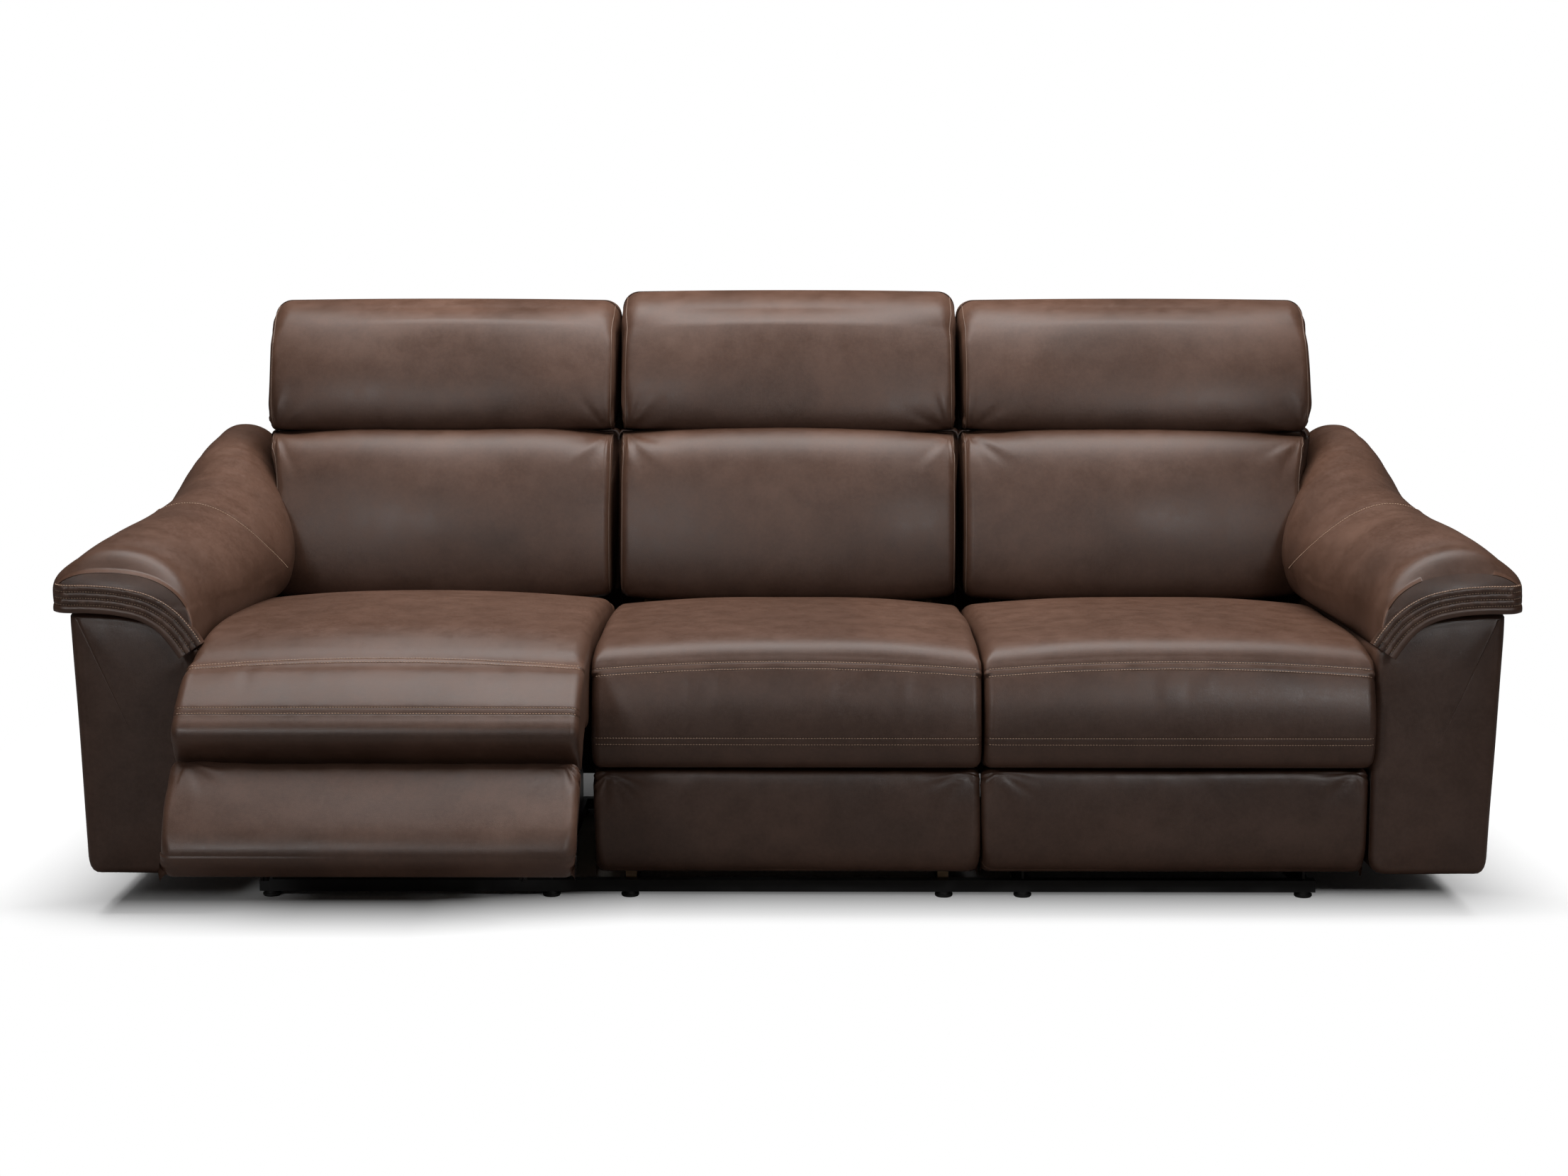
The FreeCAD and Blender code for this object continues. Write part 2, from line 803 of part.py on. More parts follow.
def drive_body(mouth, inner_end, x, z, end_y, forward):
    """Tube with a bore for the rod, and the gear motor behind it."""
    sign = 1 if forward else -1
    tube_end = inner_end + sign * 10
    low, high = min(mouth, tube_end), max(mouth, tube_end)
    tube = rod_y(low, high, x, z, drive_tube_radius)
    low, high = min(tube_end, end_y), max(tube_end, end_y)
    motor = rod_y(low, high, x, z, drive_motor_radius)
    gearbox = block(x - drive_motor_radius, x + drive_motor_radius, low, high,
                    z - drive_motor_radius, z)
    low, high = min(mouth, inner_end), max(mouth, inner_end)
    bore = rod_y(low - (1 if forward else 0), high + (0 if forward else 1), x, z,
                 rod_radius + rod_clearance)
    return tube.fuse([motor, gearbox]).cut(bore)


def footrest_motor():
    """Footrest drive, hung from the rear cross tube of the seat."""
    pin, axis_z = crank_points()
    eye_rear, mouth, inner_end, stroke = footrest_drive_ends()
    x = -drive_x + eye_thickness / 2
    tail = rear_tube_y - tube_size / 2
    body = drive_body(mouth, inner_end, x, axis_z, tail - 20, True)
    low = deck_top - deck_depth - tube_size
    hanger = block(x - 12, x + 12, tail - 20, tail, axis_z - 12, low + tube_size)
    return [body.fuse(hanger).removeSplitter()]


def lever_points():
    """Recline lever's pin, upright back, and the height of the drive's axis."""
    angle = math.radians(recline_travel / 2)
    y = recline_pivot_y + recline_lever * math.sin(angle)
    z = recline_pivot_z - recline_lever * math.cos(angle)
    axis_z = recline_pivot_z - recline_lever * (1 + math.cos(angle)) / 2
    return (y, z), axis_z


def recline_drive_ends():
    """Mouth of the drive tube and the rod's inner end, upright back."""
    (pin_y, pin_z), axis_z = lever_points()
    stroke = 2 * recline_lever * math.sin(math.radians(recline_travel / 2))
    half_wide, half_high = eye_sizes(recline_lever, recline_travel)
    mouth = pin_y - stroke - half_wide - eye_wall - eye_neck - 4
    inner_end = mouth - rod_engagement - stroke
    return mouth, inner_end, stroke


def recline_rod():
    """Recline drive's rod with a slotted eye round the lever's pin."""
    (pin_y, pin_z), axis_z = lever_points()
    half_wide, half_high = eye_sizes(recline_lever, recline_travel)
    mouth, inner_end, stroke = recline_drive_ends()
    eye = slotted_eye(drive_x, pin_y, axis_z, half_wide, half_high, -1)
    rod = rod_y(inner_end + stroke, pin_y - half_wide - eye_wall - eye_neck + 1,
                drive_x + eye_thickness / 2, axis_z, rod_radius)
    return [eye.fuse(rod).removeSplitter()]


def recline_motor():
    """Recline drive, fixed to the cross tube of the base."""
    pin, axis_z = lever_points()
    mouth, inner_end, stroke = recline_drive_ends()
    x = drive_x + eye_thickness / 2
    tail = cross_tube_y + tube_size / 2
    body = drive_body(mouth, inner_end, x, axis_z, tail + 15, False)
    hanger = block(x - 12, x + 12, tail, tail + 15, axis_z - 12, axis_z + 12)
    return body.fuse(hanger).removeSplitter()


def back_hinge():
    """Hinge tube, hinge plates and drive lever of a reclining back."""
    pivot = (recline_pivot_y, recline_pivot_z)
    inner = stile_inner_x - plate_thickness
    head = (frame_front(frame_bottom + 60) + stile_depth / 2, frame_bottom + 60)
    plate = bar_link(inner, stile_inner_x, pivot, head, hinge_plate_half_width)
    journal = rod_x(inner, end_track + plate_thickness / 2 + 2, pivot[0], pivot[1],
                    journal_radius)
    side = plate.fuse(journal)
    tube = rod_x(-inner, inner, pivot[0], pivot[1], torque_tube_radius)
    lever_pin, axis_z = lever_points()
    plate_x = drive_x - eye_gap
    lever = bar_link(plate_x - link_thickness, plate_x, pivot, lever_pin, link_half_width)
    stud = rod_x(plate_x, plate_x + eye_thickness + 2, lever_pin[0], lever_pin[1], pin_radius)
    return [tube.fuse([side, mirrored(side), lever, stud]).removeSplitter()]


def floor_rails():
    """Floor rails: one along the front, one along the rear and six across."""
    half = rail_size / 2
    reach = unit_pitch + end_track + front_rail_overhang - 8
    pieces = [
        block(-reach, reach, front_rail_y - half, front_rail_y + half, rail_lift, rail_top),
        block(-reach, reach, rear_rail_y - half, rear_rail_y + half, rail_lift, rail_top),
    ]
    for name, centre in centres.items():
        for side in (-1, 1):
            x = centre + side * tracks[name]
            pieces.append(block(x - half, x + half, front_rail_y + half, rear_rail_y - half,
                                rail_lift, rail_top))
    return pieces


def glide_feet():
    """Twelve round glide feet, each with a wider foot and a neck."""
    pieces = []
    for name, centre in centres.items():
        for side in (-1, 1):
            for y in (front_rail_y, rear_rail_y):
                x = centre + side * tracks[name]
                base = Part.makeCone(foot_radius - 1.5, foot_radius, 2, vec(x, y, 0))
                body = Part.makeCylinder(foot_radius, 3, vec(x, y, 2))
                neck = Part.makeCylinder(foot_radius * 0.7, rail_lift - 5, vec(x, y, 5))
                pieces.append(base.fuse([body, neck]).removeSplitter())
    return pieces


def base_cross_members():
    """Cross tubes of both recliner bases, and the brackets that carry the arms."""
    half = tube_size / 2
    inner = end_track - plate_thickness / 2
    outer = end_track + plate_thickness / 2
    pieces = []
    for centre, side in ((-unit_pitch, -1), (unit_pitch, 1)):
        for y, z in ((cross_tube_y, cross_tube_z), (low_tube_y, low_tube_z)):
            pieces.append(block(centre - inner, centre + inner, y - half, y + half,
                                z - half, z + half))
        for y in (bracket_front_y, bracket_rear_y):
            ends = (centre + side * outer, side * arm_inner_x)
            pieces.append(block(min(ends), max(ends), y - bracket_size / 2,
                                y + bracket_size / 2, rail_top + 20,
                                rail_top + 20 + bracket_size))
    return pieces


def shoulder(lift, inset):
    """Sloping shoulder between casing and pad, from the outside in."""
    return [
        [(arm_inner_x + arm_shoulder_x, arm_top - arm_shoulder_drop + lift)],
        [(arm_inner_x + arm_elbow_x + inset / 2, arm_top - arm_elbow_drop + lift)],
    ]


def arm_shell():
    """Right arm's hollow casing, open below, with a sloping shoulder under its pad."""
    near = arm_corner * 0.29
    steps = [
        [(arm_outer_foot_x - near, arm_foot + near), (arm_outer_foot_x, arm_foot + arm_corner)],
        [(arm_outer_x, arm_top - arm_edge_drop)],
        [(arm_outer_x, arm_top)],
        *shoulder(0.0, 0.0),
        [(arm_inner_x, arm_top - arm_seat_drop)],
        [(arm_inner_x, arm_foot + arm_corner)],
        [(arm_inner_x + near, arm_foot + near), (arm_inner_x + arm_corner, arm_foot)],
    ]
    outside = front_prism(arm_front_y, arm_rear_y, (arm_outer_foot_x - arm_corner, arm_foot),
                          steps)
    wall = arm_wall
    inside_steps = [
        [(arm_outer_x - wall, arm_top - arm_edge_drop - wall)],
        [(arm_outer_x - wall, arm_top - wall)],
        *shoulder(-wall, wall),
        [(arm_inner_x + wall, arm_top - arm_seat_drop - wall)],
        [(arm_inner_x + wall, arm_foot - 1)],
    ]
    inside = front_prism(arm_front_y + wall, arm_rear_y - wall,
                         (arm_outer_foot_x - wall, arm_foot - 1), inside_steps)
    return outside.cut(inside)


def arm_across(share):
    """Place across the arm pad, from its inner face to its tip."""
    return arm_inner_x + arm_span * share


def arm_height(share):
    """Height above the casing's top, as a share of the pad's climb."""
    return arm_top + arm_climb * share


def arm_station(y, inside, crest, brow, tip):
    """Cross-section of the right arm pad at one depth.

    The inside runs up from the seat as a rise and an arc; crest and brow shape the top, and
    the tip curls over the casing's outer edge.
    """
    start = (arm_inner_x + soft_gap, arm_top - arm_seat_drop + arm_pad_lift)
    rise, swell, crown = inside
    steps = [
        [(arm_inner_x + soft_gap, rise)],
        [swell, crown],
        [(arm_across(crest[0]), arm_height(crest[1])), (arm_across(brow[0]), arm_height(brow[1]))],
        [(arm_across(tip[0]), arm_height(tip[1])),
         (arm_outer_x + arm_edge_drop, arm_top + arm_pad_lift)],
        *shoulder(arm_pad_lift, 0.0),
    ]
    return front_wire(y, start, steps)


def arm_inside(rise, swell, crown):
    """Inside of the pad along the seat, from shares of its span and climb."""
    return (arm_height(rise), (arm_across(swell[0]), arm_height(swell[1])),
            (arm_across(crown[0]), arm_height(crown[1])))


def wing_inside(sink):
    """Inside of the pad where the back's wing passes over it."""
    foot = back_wing_foot - sink
    step = arm_wing_x - arm_inner_x
    return (foot - 2.2 * step, (arm_inner_x + 0.2 * step, foot - 1.2 * step),
            (arm_wing_x, foot - 0.6 * step))


def arm_pad():
    """Right arm pad: a broad roll in front that climbs to a wing beside the back."""
    front = arm_pad_front_y
    length = arm_rear_y - front
    wires = [
        arm_station(front, arm_inside(-0.087, (0.048, 0.104), (0.227, 0.265)),
                    (0.568, 0.304), (0.878, 0.235), (0.969, 0.143)),
        arm_station(front + length * 0.016, arm_inside(-0.035, (0.044, 0.187), (0.236, 0.357)),
                    (0.568, 0.417), (0.86, 0.317), (0.991, 0.187)),
        arm_station(front + length * 0.057, arm_inside(-0.009, (0.039, 0.217), (0.24, 0.391)),
                    (0.568, 0.461), (0.852, 0.352), (1.0, 0.2)),
        arm_station(front + length * 0.211, arm_inside(-0.009, (0.013, 0.235), (0.183, 0.439)),
                    (0.515, 0.513), (0.825, 0.404), (0.991, 0.209)),
        arm_station(front + length * 0.383, arm_inside(-0.078, (-0.074, 0.187), (0.096, 0.478)),
                    (0.459, 0.57), (0.747, 0.474), (0.956, 0.235)),
        arm_station(front + length * 0.544, arm_inside(-0.087, (-0.148, 0.2), (0.061, 0.548)),
                    (0.415, 0.665), (0.633, 0.591), (0.904, 0.278)),
        arm_station(front + length * 0.664, arm_inside(0.252, (0.013, 0.426), (0.109, 0.565)),
                    (0.371, 0.783), (0.62, 0.687), (0.873, 0.304)),
        arm_station(front + length * 0.773, wing_inside(0.0),
                    (0.245, 0.809), (0.59, 0.835), (0.852, 0.357)),
        arm_station(front + length * 0.899, wing_inside(0.0),
                    (0.245, 0.93), (0.515, 1.0), (0.83, 0.391)),
        arm_station(front + length * 0.974, wing_inside(0.0),
                    (0.24, 0.896), (0.502, 0.965), (0.817, 0.383)),
        arm_station(arm_rear_y, wing_inside(14.0),
                    (0.236, 0.774), (0.467, 0.835), (0.79, 0.296)),
    ]
    return Part.makeLoft(wires, True, True)


def welt(row):
    """One sewn roll along the front lower edge of the right arm pad."""
    offset = (2 * welt_radius + welt_gap) * row + welt_radius + 3
    radius = welt_bend + offset
    y = arm_pad_front_y - welt_radius - soft_gap
    outer = vec(arm_outer_x + 4, y, arm_top)
    corner = vec(arm_inner_x + arm_shoulder_x + 5, y, arm_top - arm_shoulder_drop + 3)
    inner = vec(arm_inner_x + arm_shoulder_x / 2, y, arm_top - arm_seat_drop)
    along = (corner - outer).normalize()
    down = (inner - corner).normalize()
    first = vec(along.z, 0, -along.x)
    last = vec(down.z, 0, -down.x)
    reach = welt_bend * math.tan(along.getAngle(down) / 2)
    centre = corner - along * reach - first * welt_bend
    middle = (first + last).normalize()
    bend = Part.Arc(centre + first * radius, centre + middle * radius,
                    centre + last * radius).toShape()
    path = Part.Wire([
        Part.makeLine(outer + first * offset, centre + first * radius), bend,
        Part.makeLine(centre + last * radius, inner + last * offset)])
    circle = Part.Wire(Part.makeCircle(welt_radius, outer + first * offset, along))
    return path.makePipeShell([circle], True, True)


def outer_face_x(z):
    """Outer face of the right arm at a height."""
    share = (z - arm_foot - arm_corner) / (arm_top - arm_edge_drop - arm_foot - arm_corner)
    return arm_outer_foot_x + (arm_outer_x - arm_outer_foot_x) * share


def tilted_to_arm(shape):
    """Turn a piece that was drawn upright so that it lies on the arm's sloping face."""
    rise = arm_top - arm_edge_drop - arm_foot - arm_corner
    slope = math.atan((arm_outer_x - arm_outer_foot_x) / rise)
    shape.rotate(vec(outer_face_x(switch_z), switch_y, switch_z), vec(0, 1, 0),
                 math.degrees(slope))
    return shape


def button_centres():
    """Depths of the two buttons on a switch plate."""
    return (switch_y - button_pitch / 2, switch_y + button_pitch / 2)


def switch_plate():
    """Right switch plate with two round wells for its buttons."""
    x = outer_face_x(switch_z)
    plate = block(x, x + switch_depth + 4, switch_y - switch_length / 2,
                  switch_y + switch_length / 2, switch_z - switch_height / 2,
                  switch_z + switch_height / 2)
    uprights = [edge for edge in plate.Edges
                if abs(edge.Vertexes[0].Point.x - edge.Vertexes[-1].Point.x) > 1]
    plate = plate.makeFillet(8, uprights)
    for y in button_centres():
        plate = plate.cut(rod_x(x + 1, x + 20, y, switch_z, button_radius + button_clearance))
    return tilted_to_arm(plate)


def switch_button(y):
    """Right push button, proud of its plate by its travel and a little more."""
    x = outer_face_x(switch_z)
    reach = x + switch_depth + 4 + button_travel + 1
    button = rod_x(x + 1 + button_travel + 0.4, reach, y, switch_z, button_radius)
    rim = [edge for edge in button.Edges if edge.BoundBox.XMin > reach - 0.01]
    return tilted_to_arm(button.makeChamfer(0.8, rim))


def centre_frame():
    """Fixed frame of the centre seat: two side panels with back posts, and a tie board."""
    inner = stile_inner_x + stile_width
    outer = inner + 18
    low = deck_top - deck_depth
    back = board_front_y + board_thickness
    post_top = frame_bottom + 70
    rail_back = front_rail_y + rail_size / 2
    panel = side_prism(
        inner, outer, (rail_back, rail_top),
        [[(apron_y, rail_top)],
         [(apron_y, apron_top)],
         [(recline_pivot_y + 45, recline_pivot_z)],
         [(frame_front(post_top) + stile_depth, post_top)],
         [(frame_front(post_top), post_top)],
         [(seat_rear_y + 10, frame_bottom - 12)],
         [(seat_rear_y + 10, low)],
         [(back, low)],
         [(back, panel_foot + rail_size)],
         [(rail_back, rail_top + rail_size)]])
    half = tube_size / 2
    ties = [block(-inner, inner, y - half, y + half, low - 2 * tube_size, low)
            for y in (front_tube_y, rear_tube_y)]
    return both_sides(panel) + ties


def rear_apron():
    """Board across the rear between the arms, below the backs."""
    half = arm_inner_x - soft_gap
    return block(-half, half, apron_y, apron_y + apron_thickness, apron_foot, apron_top)


def place_unit(pieces, name):
    """Move a unit's fixed or upright pieces to their place along the sofa."""
    return [piece.translated(vec(centres[name], 0, 0)) for piece in pieces]


def seat_shift(name):
    """Travel of a unit's seat along its guide at rest, as a vector."""
    opening = footrest_open[name]
    travel = slide_per_degree * opening
    angle = math.radians(slide_angle)
    return vec(0, -travel * math.cos(angle), travel * math.sin(angle))


def place_seat(pieces, name):
    """Move pieces that ride on a unit's seat."""
    return [piece.translated(seat_shift(name)) for piece in place_unit(pieces, name)]


def swing(pieces, centre, degrees):
    """Turn closed pieces forwards and up about a side-plane point."""
    result = []
    for piece in pieces:
        copy = piece.copy()
        copy.rotate(vec(0, centre[0], centre[1]), vec(-1, 0, 0), degrees)
        result.append(copy)
    return result


def place_footrest(pieces, name):
    """Move pieces that turn with a unit's footrest."""
    opening = footrest_open[name]
    return place_seat(swing(pieces, (seam_y, seam_z), opening), name)


def place_swing(pieces, name):
    """Move a unit's swing links and crank."""
    opening = footrest_open[name]
    return place_seat(swing(pieces, (swing_pivot_y, swing_pivot_z), opening), name)


def place_connecting(pieces, name):
    """Move a unit's connecting links, which keep their direction as the elbow swings."""
    opening = footrest_open[name]
    pivot = (swing_pivot_y, swing_pivot_z)
    elbow = elbow_point()
    moved = turned(elbow, pivot, opening)
    step = vec(0, moved[0] - elbow[0], moved[1] - elbow[1])
    return place_seat([piece.translated(step) for piece in pieces], name)


def rod_per_degree():
    """Travel of the footrest's rod for each degree of the footrest."""
    stroke = 2 * crank_length * math.sin(math.radians(footrest_travel / 2))
    return stroke / footrest_travel


def place_rod(pieces, name):
    """Move a unit's footrest rod."""
    opening = footrest_open[name]
    step = vec(0, -rod_per_degree() * opening, 0)
    return place_seat([piece.translated(step) for piece in pieces], name)


def recliner_nodes(name):
    """All nodes of one reclining unit."""
    side = -1 if name == "left" else 1
    return {
        name + "_seat_steel": place_seat(seat_steel(), name),
        name + "_seat_deck": place_seat(deck(), name),
        name + "_seat_cushion": place_seat(seat_cushion(), name),
        name + "_footrest_motor": place_seat(footrest_motor(), name),
        name + "_front_flap": place_footrest(front_flap(), name),
        name + "_lower_panel": place_footrest(lower_panel(), name),
        name + "_footrest_board": place_footrest(footrest_board(), name),
        name + "_footrest_brackets": place_footrest(footrest_brackets(), name),
        name + "_swing_links": place_swing(swing_links(), name),
        name + "_connecting_links": place_connecting(connecting_links(), name),
        name + "_footrest_rod": place_rod(footrest_rod(), name),
        name + "_back_frame": place_unit(back_frame(True), name),
        name + "_lumbar_cushion": place_unit(lumbar_cushion(side), name),
        name + "_head_cushion": place_unit(head_cushion(side, end_back_height), name),
        name + "_back_shell": place_unit(back_shell(side), name),
        name + "_back_hinge": place_unit(back_hinge(), name),
        name + "_recline_rod": place_unit(recline_rod(), name),
    }


def centre_nodes():
    """All nodes of the fixed centre seat."""
    return {
        "centre_frame": centre_frame(),
        "centre_seat_deck": deck(),
        "centre_seat_cushion": seat_cushion(),
        "centre_front_flap": front_flap(),
        "centre_lower_panel": lower_panel(),
        "centre_front_board": footrest_board(),
        "centre_back_frame": back_frame(False),
        "centre_lumbar_cushion": lumbar_cushion(0),
        "centre_head_cushion": head_cushion(0, centre_back_height),
        "centre_back_shell": back_shell(0),
    }


def arm_nodes():
    """Arms, welts and switches; the left ones mirror the right ones."""
    welts = [welt(row) for row in range(welt_count)]
    near, far = [switch_button(y) for y in button_centres()]
    return {
        "right_arm_shell": [arm_shell()],
        "left_arm_shell": [mirrored(arm_shell())],
        "right_arm_pad": [arm_pad()],
        "left_arm_pad": [mirrored(arm_pad())],
        "arm_front_welts": welts + [mirrored(piece) for piece in welts],
        "switch_plates": both_sides(switch_plate()),
        "right_open_button": [near],
        "right_recline_button": [far],
        "left_open_button": [mirrored(near)],
        "left_recline_button": [mirrored(far)],
    }


def base_nodes():
    """Floor base with all that is fixed to it."""
    ends = ("left", "right")
    plates = [piece for name in ends for piece in place_unit(base_plates(), name)]
    bars = [piece for name in ends for piece in place_unit(guide_bars(), name)]
    motors = [piece for name in ends for piece in place_unit([recline_motor()], name)]
    return {
        "floor_rails": floor_rails(),
        "glide_feet": glide_feet(),
        "base_side_plates": plates + bars,
        "base_cross_members": base_cross_members(),
        "recline_motors": motors,
        "rear_apron": [rear_apron()],
    }


def all_nodes():
    """Every node of the sofa, as lists of solids."""
    nodes = {}
    nodes.update(base_nodes())
    nodes.update(arm_nodes())
    nodes.update(centre_nodes())
    for name in ("left", "right"):
        nodes.update(recliner_nodes(name))
    return nodes


def origin_shift(nodes):
    """Shift in Y that puts the origin under the middle of the whole sofa."""
    box = FreeCAD.BoundBox()
    for pieces in nodes.values():
        for piece in pieces:
            box.add(piece.BoundBox)
    return -(box.YMin + box.YMax) / 2


def main():
    """Build the sofa and write one file for each node."""
    os.makedirs("parts", exist_ok=True)
    nodes = all_nodes()
    shift = origin_shift(nodes)
    for name, pieces in nodes.items():
        moved = [piece.translated(vec(0, shift, 0)) for piece in pieces]
        shape = moved[0] if len(moved) == 1 else Part.makeCompound(moved)
        bad = [index for index, piece in enumerate(moved) if not piece.isValid()]
        if bad:
            print(name, "has invalid solids", bad)
        shape.exportStep("parts/" + name + ".step")
    print("nodes", len(nodes), "shift", round(shift, 3))


if __name__ == "__main__":
    main()
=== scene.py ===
"""Looks of a three-seat reclining sofa in dark brown leather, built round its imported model.

Every soft piece is a closed grid of points worked out with numpy: a rounded side outline is
carried across the piece's width, drawn in at both ends, and then moved along its own normals
for crown, seams and puckers. Outlines are in millimetres in a seat unit's own plane, whose
first axis runs backwards from the face of the closed lower panel and whose second runs up
from the floor. The frame gives where that plane lies.
"""

import json
import logging
import math
from dataclasses import dataclass, field
from enum import Enum
from functools import reduce

import bpy
import numpy as np
from numpy.typing import NDArray
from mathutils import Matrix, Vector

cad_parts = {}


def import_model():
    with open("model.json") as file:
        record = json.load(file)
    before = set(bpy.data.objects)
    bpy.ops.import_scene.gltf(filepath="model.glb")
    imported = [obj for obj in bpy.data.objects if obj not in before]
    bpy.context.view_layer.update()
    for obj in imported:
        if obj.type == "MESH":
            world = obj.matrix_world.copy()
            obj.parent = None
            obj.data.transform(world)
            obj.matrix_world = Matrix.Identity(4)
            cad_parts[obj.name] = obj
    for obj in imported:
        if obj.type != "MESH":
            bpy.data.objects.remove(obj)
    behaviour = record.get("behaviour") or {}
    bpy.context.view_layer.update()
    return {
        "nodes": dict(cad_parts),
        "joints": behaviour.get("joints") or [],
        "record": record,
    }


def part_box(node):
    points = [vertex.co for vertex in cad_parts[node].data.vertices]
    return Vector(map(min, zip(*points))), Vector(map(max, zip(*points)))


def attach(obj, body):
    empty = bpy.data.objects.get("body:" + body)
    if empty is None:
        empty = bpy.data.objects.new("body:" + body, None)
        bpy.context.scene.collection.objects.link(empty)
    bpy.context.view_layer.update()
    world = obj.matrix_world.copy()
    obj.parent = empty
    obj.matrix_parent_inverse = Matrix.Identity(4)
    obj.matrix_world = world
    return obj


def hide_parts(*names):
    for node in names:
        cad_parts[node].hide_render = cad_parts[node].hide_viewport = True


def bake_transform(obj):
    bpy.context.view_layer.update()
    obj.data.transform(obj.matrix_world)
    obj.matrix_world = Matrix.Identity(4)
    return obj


Array = NDArray[np.float64]
Pair = tuple[float, float]
Triple = tuple[float, float, float]
Socket = bpy.types.NodeSocket
LOG = logging.getLogger("sofa")

MM = 0.001
HALF_WIDTH = 313.0         # half the width of a seat unit's leather
WING = 27.0                # how far an end back reaches over its arm
WING_FOOT = (640.0, 800.0)  # heights between which that wing grows
TOP_EDGE = 935.0           # height above which a head cushion is rounded more
SEAM_BEHIND_FACE = 22.0    # from the fold's axis back to the lower panel's face
FOLD_HALF = 0.034          # half the stretch of leather that bends, in metres
SHARP_FOLD = 1e-9          # the same for what turns wholly with the footrest
NOISE_CELLS = 64


class Unit(Enum):
    """The three seat units, from left to right as seen from the front."""

    LEFT = "left"
    CENTRE = "centre"
    RIGHT = "right"


class Side(Enum):
    """The two ends of the sofa; the value is the sign of X there."""

    LEFT = -1
    RIGHT = 1

    @property
    def word(self) -> str:
        """Name of this side, as the nodes use it."""
        return self.name.lower()


# Curves, outlines and grids


def ramp(value: Array, low: float, high: float) -> Array:
    """Share of the way from low to high, held between 0 and 1."""
    return np.clip((value - low) / (high - low), 0, 1)


def smooth(share: Array) -> Array:
    """Smooth step of a share: level at 0 and at 1."""
    return share * share * (3 - 2 * share)


def bell(distance: Array, width: float) -> Array:
    """Bell curve: 1 at no distance, falling smoothly over the width."""
    return np.exp(-(distance / width) ** 2)


def unit_length(vectors: Array) -> Array:
    """Vectors of length 1 in the same directions."""
    return vectors / np.linalg.norm(vectors, axis=-1, keepdims=True)


def run_lengths(points: Array) -> Array:
    """Running length from 0 along lines of points: the running sum of their steps."""
    steps = np.linalg.norm(np.diff(points, axis=-2), axis=-1)
    return np.concatenate((np.zeros_like(steps[..., :1]), np.cumsum(steps, -1)), axis=-1)


def read_along(wanted: Array, run: Array, values: Array) -> Array:
    """Values at the wanted running lengths, on straight lines between their neighbours."""
    return np.stack([np.interp(wanted, run, column) for column in values.T], axis=-1)


def rounded_loop(points: Array, passes: int = 4) -> Array:
    """Round a closed outline by cutting its corners.

    Each pass replaces every corner by two points, a quarter and three quarters along each
    edge, so the outline tends to a smooth curve that touches the middle of each edge.

    Args:
        points: Outline corners, in any number of leading axes, then corners, then axes.
        passes: Number of corner-cutting passes.

    Returns:
        The rounded outline.
    """
    loop = np.asarray(points, float)
    for _ in range(passes):
        ahead = np.roll(loop, -1, axis=-2)
        pair = np.stack((0.75 * loop + 0.25 * ahead, 0.25 * loop + 0.75 * ahead), axis=-2)
        loop = pair.reshape(*loop.shape[:-2], -1, loop.shape[-1])
    return loop


def spaced_loop(loop: Array, count: int, marks: tuple[Pair, ...] = (),
                spread: float = 16.0, extra: float = 2.5) -> Array:
    """Space points along a closed outline, closer together near the marked points.

    The density is 1 plus a bell curve of distance round each mark, and the points are
    placed at equal steps of the running total of that density.

    Args:
        loop: Closed outline of plane points.
        count: Number of points wanted.
        marks: Points near which the spacing is finer.
        spread: Width of the bell curve.
        extra: Height of the bell curve.

    Returns:
        The outline as count points.
    """
    ring = np.vstack((loop, loop[:1]))
    middle = (ring[1:] + ring[:-1]) / 2
    density = np.ones(len(loop))
    for mark in marks:
        density += extra * bell(np.linalg.norm(middle - mark, axis=1), spread)
    steps = np.linalg.norm(np.diff(ring, axis=0), axis=1)
    total = np.concatenate(([0.0], np.cumsum(steps * density)))
    return read_along(np.linspace(0.0, total[-1], count, endpoint=False), total, ring)


def loop_normals(loop: Array) -> Array:
    """Outward unit normals of a closed plane outline: its directions, turned a quarter.

    Args:
        loop: Closed outline of plane points.

    Returns:
        One normal for each point.
    """
    ahead = np.roll(loop, -1, axis=0)
    along = unit_length(ahead - np.roll(loop, 1, axis=0))
    turn = np.sum(loop[:, 0] * ahead[:, 1] - ahead[:, 0] * loop[:, 1])
    return np.stack((along[:, 1], -along[:, 0]), axis=1) * np.sign(turn)


def near(loop: Array, mark: Pair) -> Array:
    """Distance of every outline point from the one nearest to a mark, in millimetres."""
    gap = np.linalg.norm(loop - np.array(mark), axis=1)
    return np.sqrt(np.maximum(gap ** 2 - gap.min() ** 2, 0.0))


def smooth_path(knots: Array, values: Array, wanted: Array) -> Array:
    """Pass a smooth curve through values at uneven knots.

    Each stretch is a cubic whose slopes at its ends are those of the chord between the
    knots on either side.

    Args:
        knots: Places of the values.
        values: Values, with the knots along the first axis.
        wanted: Places to read.

    Returns:
        The values at the wanted places.
    """
    slope = np.gradient(values, knots, axis=0)
    k = np.clip(np.searchsorted(knots, wanted, side="right") - 1, 0, len(knots) - 2)
    width = knots[k + 1] - knots[k]
    t = (wanted - knots[k]) / width
    shape = (-1,) + (1,) * (values.ndim - 1)
    t, width = t.reshape(shape), width.reshape(shape)
    start = (2 * t ** 3 - 3 * t ** 2 + 1) * values[k]
    start = start + (t ** 3 - 2 * t ** 2 + t) * width * slope[k]
    end = (3 * t ** 2 - 2 * t ** 3) * values[k + 1]
    return start + (end + (t ** 3 - t ** 2) * width * slope[k + 1])


